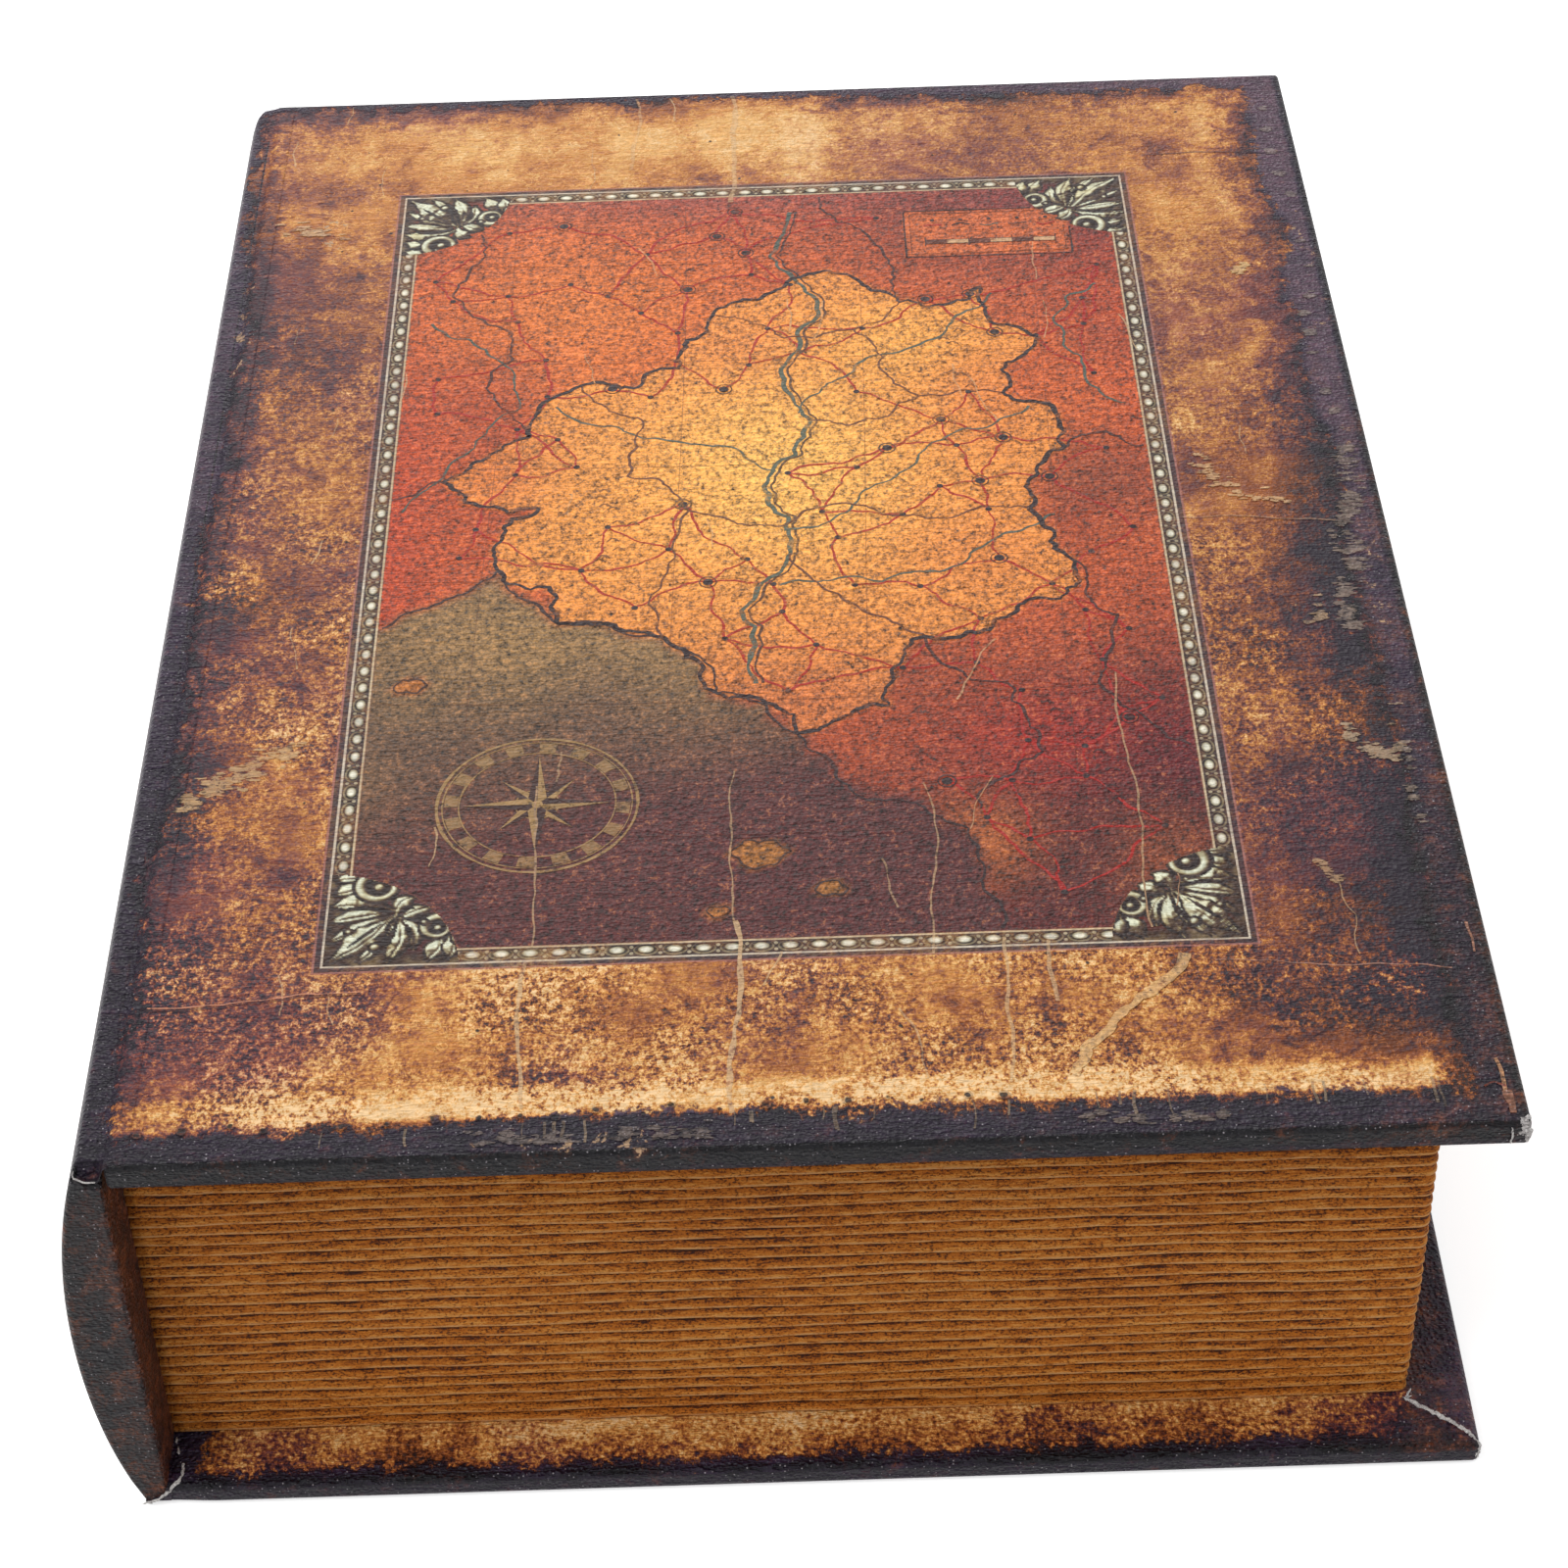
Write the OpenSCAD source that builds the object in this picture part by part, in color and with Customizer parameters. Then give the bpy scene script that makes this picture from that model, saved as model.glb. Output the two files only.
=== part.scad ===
// Book-shaped storage box: a hard case with a rounded spine, a walled tray glued to its lower cover,
// and an upper cover that opens on a leather-cloth joint.
// Frame: X across the covers with the spine at low X, Y along the spine, Z up from the table.

/* [Case] */
// Width of each cover, from the spine's shoulder to the fore edge
cover_w = 190; // [150:1:260]
// Length of the covers and of the spine
cover_l = 270; // [200:1:340]
// Height of the closed box
total_h = 70; // [50:1:100]
// Thickness of the two cover boards
board_t = 3; // [2:0.1:5]
// Thickness of the leather cloth that wraps the case
skin_t = 0.4; // [0.3:0.05:0.6]
// Width of the cloth turned in round each cover board
turn_in = 18; // [14:1:30]
// Radius of the cloth where it folds over a board's edge
edge_r = 0.8; // [0.5:0.1:1.3]
// Width of the slit left where two turned-in flaps meet at a corner
mitre_gap = 0.3; // [0.2:0.1:0.8]

/* [Spine] */
// How far the rounded back stands out past the covers
spine_bulge = 5.1; // [3:0.1:12]
// Thickness of the spine at its two shoulders, cloth included
spine_edge_t = 3.3; // [2:0.1:6]
// How far the spine's top shoulder lies below the closed upper cover
shoulder_drop = 0.6; // [0.4:0.1:1.2]
// Length of the cloth turned in over each end of the spine
spine_turn_in = 18; // [12:1:30]

/* [Joint] */
// Width of the open joint between the spine and the upper board
joint_gap = 1.5; // [1.2:0.1:3]
// Clearance between the two halves of the joint's cloth
joint_clear = 0.3; // [0.2:0.05:0.4]
// Thickness of the inner joint cloth
joint_cloth_t = 0.25; // [0.15:0.05:0.35]

/* [Tray] */
// Width of the cover that shows past the pages at the head and the tail
head_margin = 10; // [6:0.5:15]
// Width of the cover that shows past the pages at the fore edge
fore_margin = 9; // [6:0.5:15]
// Thickness of the four tray walls
wall_t = 6; // [5:0.5:9]
// Thickness of the tray's floor board
floor_t = 2.5; // [2:0.5:5]
// Thickness of the flocked lining
lining_t = 0.5; // [0.3:0.1:1]
// Clearance between the tray's rim and the closed upper cover
rim_gap = 0.2; // [0.1:0.1:0.5]

/* [Page edges] */
// Number of ridges down the page edges
rib_count = 30; // [16:1:40]
// Height of a ridge over its valleys
rib_depth = 0.7; // [0.4:0.1:1.2]
// Thickness of the ridged paper at its valleys
strip_t = 0.5; // [0.3:0.1:0.9]

/* [Magnets] */
// Diameter of the disc magnets
magnet_d = 4; // [3:0.5:4.5]
// Thickness of the disc magnets
magnet_t = 2; // [1:0.5:2]
// Distance between the two pairs of magnets
magnet_pitch = 140; // [60:5:170]

/* [Hidden] */
$fn = 96;

skin_c = [0.20, 0.13, 0.10];
spine_c = [0.15, 0.11, 0.12];
board_c = [0.60, 0.46, 0.31];
page_c = [0.68, 0.41, 0.12];
lining_c = [0.24, 0.11, 0.08];
cloth_c = [0.12, 0.09, 0.08];
magnet_c = [0.72, 0.73, 0.75];

// A slit or an opening is cut this much past the face that it opens
cut_over = 1;
// Points that draw one ridge
rib_steps = 5;

// Covers, across X and along Y
x_left = (spine_bulge - cover_w) / 2;
x_right = x_left + cover_w;
y_end = cover_l / 2;
cover_t = board_t + 2 * skin_t;

// Spine
spine_h = total_h - shoulder_drop;
spine_x = x_left + spine_edge_t;
spine_r = (pow(spine_h / 2, 2) + pow(spine_bulge, 2)) / (2 * spine_bulge);

// Joint: the upper cover turns about this line, level with its outer face
joint_x = spine_x + joint_gap / 2;
lid_x = spine_x + joint_gap;
lid_z = total_h - cover_t;

// Tray, from outside to inside
strip_all = strip_t + rib_depth;
wall_x = x_right - fore_margin - strip_all;
wall_y = y_end - head_margin - strip_all;
inner_x0 = spine_x + wall_t;
inner_x1 = wall_x - wall_t;
inner_y = wall_y - wall_t;
rim_z = lid_z - rim_gap;
wall_top = rim_z - lining_t;
floor_z = cover_t + floor_t;
lining_x0 = inner_x0 + lining_t;
lining_x1 = inner_x1 - lining_t;
lining_y = inner_y - lining_t;
magnet_x = wall_x - wall_t / 2;

// A slab whose long edges are rounded, standing on Z = 0, with its low-X end left square
module soft_slab(x0, x1, y1, h, r) {
    intersection() {
        rotate([90, 0, 0])
            linear_extrude(2 * y1, center = true)
                union() {
                    translate([x0, 0]) square([x1 - r - x0, h]);
                    translate([x0, r]) square([x1 - x0, h - 2 * r]);
                    for (z = [r, h - r]) translate([x1 - r, z]) circle(r);
                }
        translate([x0, 0, 0])
            rotate([90, 0, 90])
                linear_extrude(x1 - x0)
                    union() {
                        translate([-y1 + r, 0]) square([2 * (y1 - r), h]);
                        translate([-y1, r]) square([2 * y1, h - 2 * r]);
                        for (y = [-y1 + r, y1 - r], z = [r, h - r]) translate([y, z]) circle(r);
                    }
    }
}

// A box between two corners
module block(low, high) {
    translate(low) cube(high - low);
}

// Slits at 45 degrees from the cover's two fore-edge corners to the flaps' inner corners
module mitre_slits(z0, z1) {
    for (side = [-1, 1])
        translate([x_right, side * y_end, z0])
            rotate([0, 0, side > 0 ? 225 : 135])
                translate([edge_r, -mitre_gap / 2, 0])
                    cube([(turn_in - edge_r) * sqrt(2) + mitre_gap, mitre_gap, z1 - z0]);
}

// Cloth wrapped round a cover board whose low-X end is at x0; the flaps lie on the tray's side
module cover_wrap(x0, flap_z0, flap_z1) {
    difference() {
        soft_slab(x0, x_right, y_end, cover_t, edge_r);
        block([x0 - cut_over, -y_end + skin_t, skin_t], [x_right - skin_t, y_end - skin_t, cover_t - skin_t]);
        block([x0 - cut_over, -y_end + turn_in, flap_z0], [x_right - turn_in, y_end - turn_in, flap_z1]);
        mitre_slits(flap_z0, flap_z1);
    }
}

// The board inside a cover's wrap
module cover_board(x0) {
    block([x0, -y_end + skin_t, skin_t], [x_right - skin_t, y_end - skin_t, cover_t - skin_t]);
}

// The spine's section, in X and Z, shrunk on every side by inset
module spine_section(inset) {
    intersection() {
        translate([x_left - spine_bulge + spine_r, spine_h / 2]) circle(spine_r - inset, $fn = 240);
        translate([x_left - spine_bulge, inset])
            square([spine_bulge + spine_edge_t - inset, spine_h - 2 * inset]);
    }
}

// An extrusion along the whole spine, less cut at each end
module along_spine(cut = 0) {
    rotate([90, 0, 0]) linear_extrude(cover_l - 2 * cut, center = true) children();
}

// The corner of the lower cover's end cloth that laps the spine, cut on the mitre
module spine_corner() {
    polygon([[x_left + skin_t, 0], [spine_x, 0], [spine_x, cover_t]]);
}

// One end layer of cloth, skin_t thick, at both ends of the spine
module end_caps() {
    for (side = [-1, 1])
        translate([0, side * (y_end - skin_t / 2), 0])
            rotate([90, 0, 0]) linear_extrude(skin_t, center = true) children();
}

module bottom_board() {
    color(board_c) cover_board(spine_x);
}

module bottom_skin() {
    color(skin_c) {
        cover_wrap(spine_x, cover_t - skin_t, cover_t + cut_over);
        end_caps() spine_corner();
    }
}

module spine_core() {
    color(board_c) along_spine(skin_t) spine_section(skin_t);
}

// The wrap over the rounded back, both ends and, for a turn-in's length, the inner face;
// the shoulder's top layer belongs to the joint cloth
module spine_skin() {
    wrap_top = spine_h - skin_t;
    color(spine_c)
        union() {
            along_spine(skin_t)
                difference() {
                    spine_section(0);
                    spine_section(skin_t);
                    translate([spine_x - skin_t, skin_t]) square([skin_t + cut_over, spine_h]);
                    translate([x_left - cut_over, wrap_top]) square([spine_edge_t + cut_over, skin_t + cut_over]);
                }
            end_caps()
                difference() {
                    spine_section(0);
                    translate([x_left - cut_over, wrap_top]) square([spine_edge_t + 2 * cut_over, skin_t + cut_over]);
                    spine_corner();
                }
            for (side = [-1, 1])
                block([spine_x - skin_t, min(side * (y_end - skin_t), side * (y_end - spine_turn_in)), skin_t],
                    [spine_x, max(side * (y_end - skin_t), side * (y_end - spine_turn_in)), wrap_top]);
        }
}

// Head, tail, fore-edge and spine walls: the two long walls run the full length of the tray
module end_wall(side) {
    y0 = side > 0 ? inner_y : -wall_y;
    color(board_c) block([inner_x0, y0, cover_t], [inner_x1, y0 + wall_t, wall_top]);
}

module head_wall() {
    end_wall(-1);
}

module tail_wall() {
    end_wall(1);
}

module fore_edge_wall() {
    color(board_c)
        difference() {
            block([inner_x1, -wall_y, cover_t], [wall_x, wall_y, wall_top]);
            for (y = [-1, 1] * magnet_pitch / 2)
                translate([magnet_x, y, wall_top - magnet_t]) cylinder(d = magnet_d, h = magnet_t + cut_over);
        }
}

module spine_wall() {
    color(board_c) block([spine_x, -wall_y, cover_t], [inner_x0, wall_y, wall_top]);
}

module tray_floor() {
    color(board_c) block([inner_x0, -inner_y, cover_t], [inner_x1, inner_y, floor_z]);
}

// Section of the ridged paper: its flat back on the first axis's zero, its ridges outwards
module rib_section() {
    pitch = (rim_z - cover_t) / rib_count;
    ridges = [for (i = [0:rib_count - 1], k = [0:rib_steps - 1])
        [strip_t + rib_depth * sqrt(sin(180 * k / rib_steps)), cover_t + pitch * (i + k / rib_steps)]];
    polygon(concat([[0, rim_z], [0, cover_t]], ridges, [[strip_t, rim_z]]));
}

// One length of ridged paper folded round the tail, fore-edge and head walls
module page_strip() {
    color(page_c)
        union() {
            for (side = [-1, 1]) {
                // head or tail side
                translate([spine_x, side * wall_y, 0])
                    rotate([90, 0, 90])
                        linear_extrude(wall_x - spine_x)
                            mirror([side > 0 ? 0 : 1, 0]) rib_section();
                // fold round the wall's corner
                translate([wall_x, side * wall_y, 0])
                    rotate([0, 0, side > 0 ? 0 : -90]) rotate_extrude(angle = 90, $fn = 32) rib_section();
            }
            // fore-edge side
            translate([wall_x, wall_y, 0]) rotate([90, 0, 0]) linear_extrude(2 * wall_y) rib_section();
        }
}

// Cloth over the rim of one wall, mitred where it meets the next; corners run inner, inner, outer, outer
module rim_cap(corners) {
    translate([0, 0, wall_top]) linear_extrude(lining_t) polygon(corners);
}

module end_lining(side) {
    color(lining_c)
        union() {
            block([inner_x0, min(side * inner_y, side * lining_y), floor_z + lining_t],
                [inner_x1, max(side * inner_y, side * lining_y), wall_top]);
            rim_cap([[lining_x0, side * lining_y], [lining_x1, side * lining_y],
                [wall_x, side * wall_y], [spine_x, side * wall_y]]);
        }
}

module head_lining() {
    end_lining(-1);
}

module tail_lining() {
    end_lining(1);
}

module fore_edge_lining() {
    color(lining_c)
        union() {
            block([lining_x1, -lining_y, floor_z + lining_t], [inner_x1, lining_y, wall_top]);
            rim_cap([[lining_x1, -lining_y], [lining_x1, lining_y], [wall_x, wall_y], [wall_x, -wall_y]]);
        }
}

module spine_lining() {
    color(lining_c)
        union() {
            block([inner_x0, -lining_y, floor_z + lining_t], [lining_x0, lining_y, wall_top]);
            rim_cap([[lining_x0, -lining_y], [lining_x0, lining_y], [spine_x, wall_y], [spine_x, -wall_y]]);
        }
}

module floor_lining() {
    color(lining_c) block([inner_x0, -inner_y, floor_z], [inner_x1, inner_y, floor_z + lining_t]);
}

// Discs sunk flush in the top of the fore-edge wall
module tray_magnets() {
    color(magnet_c)
        for (y = [-1, 1] * magnet_pitch / 2)
            translate([magnet_x, y, wall_top - magnet_t]) cylinder(d = magnet_d, h = magnet_t);
}

// The case's cloth from the spine's shoulder to the middle of the joint
module hinge_skin() {
    color(skin_c)
        union() {
            along_spine()
                intersection() {
                    spine_section(0);
                    translate([x_left - spine_bulge, spine_h - skin_t]) square([spine_bulge + spine_edge_t, skin_t]);
                }
            block([spine_x, -y_end, spine_h - skin_t], [joint_x - joint_clear / 2, y_end, spine_h]);
        }
}

// Cloth up the spine's inner face, from the tray's rim to the joint
module hinge_cloth() {
    color(cloth_c) block([spine_x, -wall_y, rim_z], [spine_x + joint_cloth_t, wall_y, spine_h - skin_t]);
}

module lid_board() {
    color(board_c)
        translate([0, 0, lid_z])
            difference() {
                cover_board(lid_x);
                for (y = [-1, 1] * magnet_pitch / 2)
                    translate([magnet_x, y, skin_t - cut_over]) cylinder(d = magnet_d, h = magnet_t + cut_over);
            }
}

// The upper cover's wrap, with the other half of the joint falling to the level of the spine's shoulder
module lid_skin() {
    joint_edge = joint_x + joint_clear / 2;
    color(skin_c)
        union() {
            translate([0, 0, lid_z]) cover_wrap(lid_x, -cut_over, skin_t);
            along_spine()
                polygon([[lid_x, total_h], [lid_x, total_h - skin_t], [joint_edge, spine_h - skin_t],
                    [joint_edge, spine_h]]);
        }
}

// Lining sheet laid inside the upper cover's turned-in flaps
module lid_lining() {
    color(lining_c)
        block([lid_x, -y_end + turn_in, lid_z], [x_right - turn_in, y_end - turn_in, lid_z + skin_t]);
}

// Cloth up the end of the upper board that faces the spine
module lid_hinge_cloth() {
    color(cloth_c)
        block([lid_x - joint_cloth_t, -wall_y, lid_z], [lid_x, wall_y, total_h - 2 * skin_t]);
}

// Discs sunk flush in the lower face of the upper board, over the tray's pair
module lid_magnets() {
    color(magnet_c)
        for (y = [-1, 1] * magnet_pitch / 2)
            translate([magnet_x, y, lid_z + skin_t]) cylinder(d = magnet_d, h = magnet_t);
}

bottom_board();
bottom_skin();
spine_core();
spine_skin();
head_wall();
tail_wall();
fore_edge_wall();
spine_wall();
tray_floor();
page_strip();
head_lining();
tail_lining();
fore_edge_lining();
spine_lining();
floor_lining();
tray_magnets();
hinge_skin();
hinge_cloth();
lid_board();
lid_skin();
lid_lining();
lid_hinge_cloth();
lid_magnets();
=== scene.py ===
import math

import bpy
import numpy as np
from mathutils import Matrix, Vector


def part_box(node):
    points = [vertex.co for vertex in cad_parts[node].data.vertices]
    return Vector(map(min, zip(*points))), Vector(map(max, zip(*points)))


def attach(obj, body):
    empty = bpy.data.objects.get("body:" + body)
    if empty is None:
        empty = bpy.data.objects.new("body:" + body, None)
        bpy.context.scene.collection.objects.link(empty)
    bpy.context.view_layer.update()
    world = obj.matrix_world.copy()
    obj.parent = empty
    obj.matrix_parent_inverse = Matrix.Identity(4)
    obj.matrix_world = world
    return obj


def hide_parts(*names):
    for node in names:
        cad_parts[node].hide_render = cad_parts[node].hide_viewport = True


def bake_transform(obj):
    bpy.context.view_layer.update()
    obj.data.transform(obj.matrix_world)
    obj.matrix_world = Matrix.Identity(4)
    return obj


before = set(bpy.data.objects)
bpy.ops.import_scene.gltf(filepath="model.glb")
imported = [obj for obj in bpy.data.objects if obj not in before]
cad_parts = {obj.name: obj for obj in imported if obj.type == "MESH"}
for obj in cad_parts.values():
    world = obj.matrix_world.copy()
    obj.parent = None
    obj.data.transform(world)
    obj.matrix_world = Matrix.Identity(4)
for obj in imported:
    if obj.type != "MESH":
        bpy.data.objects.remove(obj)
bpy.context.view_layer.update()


def nodeBox(name):
    low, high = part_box(name)
    return np.array(low) * 1000, np.array(high) * 1000  # millimetres


lidLow, lidHigh = nodeBox("lid_board")
baseLow, baseHigh = nodeBox("bottom_board")
spineFaceX, spineTopBare = baseLow[0], nodeBox("spine_core")[1][2]
skinT = 0.4  # cloth round the boards
yEnd = lidHigh[1] + skinT
xRight = lidHigh[0] + skinT
lidTop = lidHigh[2] + skinT
lidUnder = lidLow[2] - skinT
baseTop = baseHigh[2] + skinT


# Camera, floor and light

view = {"place": (0.002525, -0.4595, 0.41257), "yaw": -0.0018948, "down": 0.712866, "roll": -0.0336337,
        "lens": 82.81, "sensor": 36, "clip": (0.01, 30)}


def placeCamera():
    yaw, down, roll = view["yaw"], view["down"], view["roll"]
    ahead = Vector((math.sin(yaw) * math.cos(down), math.cos(yaw) * math.cos(down), -math.sin(down)))
    side = Vector((math.cos(yaw), -math.sin(yaw), 0))
    up = side.cross(ahead)
    turnedSide = side * math.cos(roll) + up * math.sin(roll)
    turnedUp = up * math.cos(roll) - side * math.sin(roll)
    data = bpy.data.cameras.new("bookCamera")
    data.lens, data.sensor_width = view["lens"], view["sensor"]
    data.clip_start, data.clip_end = view["clip"]
    camera = bpy.data.objects.new("bookCamera", data)
    camera.matrix_world = Matrix.Translation(view["place"]) @ Matrix(
        (turnedSide, turnedUp, -ahead)).transposed().to_4x4()
    bpy.context.scene.collection.objects.link(camera)
    bpy.context.scene.camera = camera


placeCamera()


def plug(tree, socket, value):
    if isinstance(value, bpy.types.NodeSocket):
        tree.links.new(value, socket)
    else:
        socket.default_value = value


def addNode(tree, kind, inputs=None, **settings):
    node = tree.nodes.new(kind)
    for key, value in settings.items():
        setattr(node, key, value)
    for key, value in (inputs or {}).items():
        plug(tree, node.inputs[key], value)
    return node


def calc(tree, operation, first, second=0.0, third=0.0, clamp=False):
    node = addNode(tree, "ShaderNodeMath", {0: first, 1: second, 2: third}, operation=operation,
                   use_clamp=clamp)
    return node.outputs[0]


def times(tree, first, second):
    return calc(tree, "MULTIPLY", first, second)


def minus(tree, first, second, clamp=False):
    return calc(tree, "SUBTRACT", first, second, clamp=clamp)


def addUp(tree, *values):
    total = values[0]
    for value in values[1:]:
        total = calc(tree, "ADD", total, value)
    return total


def swing(tree, value, reach):
    # a 0 to 1 texture value turned into -reach/2 to reach/2
    return calc(tree, "MULTIPLY_ADD", value, reach, -reach / 2)


def step(tree, value, low, high, toLow=0.0, toHigh=1.0, kind="SMOOTHSTEP"):
    node = addNode(tree, "ShaderNodeMapRange", {0: value, 1: low, 2: high, 3: toLow, 4: toHigh},
                   interpolation_type=kind)
    return node.outputs[0]


def mixColour(tree, amount, first, second, mode="MIX"):
    node = addNode(tree, "ShaderNodeMix", {0: amount, 6: first, 7: second}, data_type="RGBA",
                   blend_type=mode)
    return node.outputs[2]


def ramp(tree, value, stops):
    node = addNode(tree, "ShaderNodeValToRGB", {0: value})
    while len(node.color_ramp.elements) < len(stops):
        node.color_ramp.elements.new(1.0)
    for element, (place, colour) in zip(node.color_ramp.elements, stops):
        element.position, element.color = place, colour
    return node.outputs[0]


def fractal(tree, place, size, detail=4.0, roughness=0.55, bend=0.0):
    node = addNode(tree, "ShaderNodeTexNoise", {"Vector": place, "Scale": 1 / size, "Detail": detail,
                                               "Roughness": roughness, "Distortion": bend})
    return node.outputs[0]


def cells(tree, place, size, spread=1.0, feature="F1"):
    node = addNode(tree, "ShaderNodeTexVoronoi", {"Vector": place, "Scale": 1 / size, "Randomness": spread},
                   feature=feature)
    return node


def stretch(tree, place, factors):
    return addNode(tree, "ShaderNodeVectorMath", {0: place, 1: factors}, operation="MULTIPLY").outputs[0]


def paint(red, green, blue):
    # a colour written 0 to 255 as a picture editor shows it
    parts = [c / 255 for c in (red, green, blue)]
    return tuple(c / 12.92 if c <= 0.04045 else ((c + 0.055) / 1.055) ** 2.4 for c in parts) + (1.0,)


def newMaterial(name):
    material = bpy.data.materials.new(name)
    material.use_nodes = True
    tree = material.node_tree
    return material, tree, tree.nodes["Principled BSDF"]


def newGroup(name, inputs, outputs):
    tree = bpy.data.node_groups.new(name, "ShaderNodeTree")
    kinds = {"vector": "NodeSocketVector", "value": "NodeSocketFloat", "colour": "NodeSocketColor"}
    for label, kind in inputs:
        tree.interface.new_socket(label, in_out="INPUT", socket_type=kinds[kind])
    for label, kind in outputs:
        tree.interface.new_socket(label, in_out="OUTPUT", socket_type=kinds[kind])
    return tree, tree.nodes.new("NodeGroupInput").outputs, tree.nodes.new("NodeGroupOutput").inputs


def useGroup(tree, group, inputs):
    node = tree.nodes.new("ShaderNodeGroup")
    node.node_tree = group
    for key, value in inputs.items():
        plug(tree, node.inputs[key], value)
    return node.outputs


def field(tree, name, output="Fac"):
    return addNode(tree, "ShaderNodeAttribute", attribute_name=name).outputs[output]


def objectMillimetres(tree):
    return stretch(tree, tree.nodes.new("ShaderNodeTexCoord").outputs["Object"], (1000, 1000, 1000))


def bumpInto(tree, shader, height, distance):
    bump = addNode(tree, "ShaderNodeBump", {"Height": height, "Distance": distance})
    plug(tree, shader.inputs["Normal"], bump.outputs[0])


light = {"skyLevel": 0.66, "aim": (0, 0, 0.05),
         "key": {"power": 7.5, "place": (-0.75, -0.55, 1.25), "size": 0.9},
         "back": {"power": 8.0, "place": (-0.15, 1.1, 0.75), "size": 0.9},
         "floorColour": 0.82, "floorGlow": 0.6, "floorReach": 6.0, "floorDrop": 0.0003, "floorRoughness": 0.9}


def seenStraight(tree):
    # 1 for what the camera sees, also in a mirror or through glass
    path = tree.nodes.new("ShaderNodeLightPath").outputs
    return calc(tree, "MAXIMUM", calc(tree, "MAXIMUM", path["Is Camera Ray"], path["Is Glossy Ray"]),
                path["Is Transmission Ray"])


def makeStudio():
    world = bpy.data.worlds.new("studioWorld")
    bpy.context.scene.world = world
    world.use_nodes = True
    tree = world.node_tree
    background = tree.nodes["Background"]
    background.inputs[0].default_value = (1, 1, 1, 1)
    plug(tree, background.inputs[1], step(tree, seenStraight(tree), 0, 1, light["skyLevel"], 1.0, "LINEAR"))

    for name in ("key", "back"):
        lamp = bpy.data.lights.new(name + "Light", "AREA")
        lamp.shape, lamp.size, lamp.energy = "DISK", light[name]["size"], light[name]["power"]
        placed = bpy.data.objects.new(name + "Light", lamp)
        spot = Vector(light[name]["place"])
        placed.matrix_world = Matrix.Translation(spot) @ (
            spot - Vector(light["aim"])).to_track_quat("Z", "Y").to_matrix().to_4x4()
        bpy.context.scene.collection.objects.link(placed)

    mesh = bpy.data.meshes.new("floor")
    reach = light["floorReach"]
    mesh.from_pydata([(-reach, -reach, 0), (reach, -reach, 0), (reach, reach, 0), (-reach, reach, 0)], [],
                     [(0, 1, 2, 3)])
    floor = bpy.data.objects.new("floor", mesh)
    floor.location.z = -light["floorDrop"]
    bpy.context.scene.collection.objects.link(floor)
    material, tree, shader = newMaterial("paleFloor")
    level = light["floorColour"]
    shader.inputs["Base Color"].default_value = (level, level, level, 1)
    shader.inputs["Roughness"].default_value = light["floorRoughness"]
    shader.inputs["Specular IOR Level"].default_value = 0.0
    shader.inputs["Emission Color"].default_value = (1, 1, 1, 1)
    plug(tree, shader.inputs["Emission Strength"], times(tree, seenStraight(tree), light["floorGlow"]))
    mesh.materials.append(material)
    bpy.context.scene.view_settings.view_transform = "Standard"


makeStudio()
print("camera, floor and light placed")


# Mesh helpers, all in millimetres until a piece is made

def makePiece(name, points, faces, material, body=None, stands=(), fields=None, colours=None):
    points = np.asarray(points, float)
    mesh = bpy.data.meshes.new(name)
    mesh.from_pydata((points / 1000).tolist(), [], [list(map(int, f)) for f in faces])
    mesh.materials.append(material)
    mesh.polygons.foreach_set("use_smooth", [True] * len(mesh.polygons))
    mesh.attributes.new("rest", "FLOAT_VECTOR", "POINT").data.foreach_set("vector", points.ravel())
    for key, values in (fields or {}).items():
        mesh.attributes.new(key, "FLOAT", "POINT").data.foreach_set("value", np.asarray(values, float))
    for key, values in (colours or {}).items():
        rgba = np.column_stack([values, np.ones(len(values))]).astype(np.float32)
        mesh.attributes.new(key, "FLOAT_COLOR", "POINT").data.foreach_set("color", rgba.ravel())
    mesh.update()
    piece = bpy.data.objects.new(name, mesh)
    bpy.context.scene.collection.objects.link(piece)
    if stands:
        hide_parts(*stands)
    if body:
        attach(piece, body)
    return piece


def joinMeshes(parts):
    points, faces, count = [], [], 0
    for somePoints, someFaces in parts:
        points.append(np.asarray(somePoints, float))
        faces += [[i + count for i in face] for face in someFaces]
        count += len(somePoints)
    return np.vstack(points), faces


def gridLines(low, high, radius, pitch, rounds=4):
    # line positions across a rounded slab: close together round the edges, even in between
    bend = [radius * math.tan(math.pi / 4 * k / rounds) for k in range(rounds, 0, -1)]
    start, end = low + radius, high - radius
    even = np.linspace(start, end, max(1, round((end - start) / pitch)) + 1)
    return np.array([start - b for b in bend] + list(even) + [end + b for b in reversed(bend)])


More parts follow.
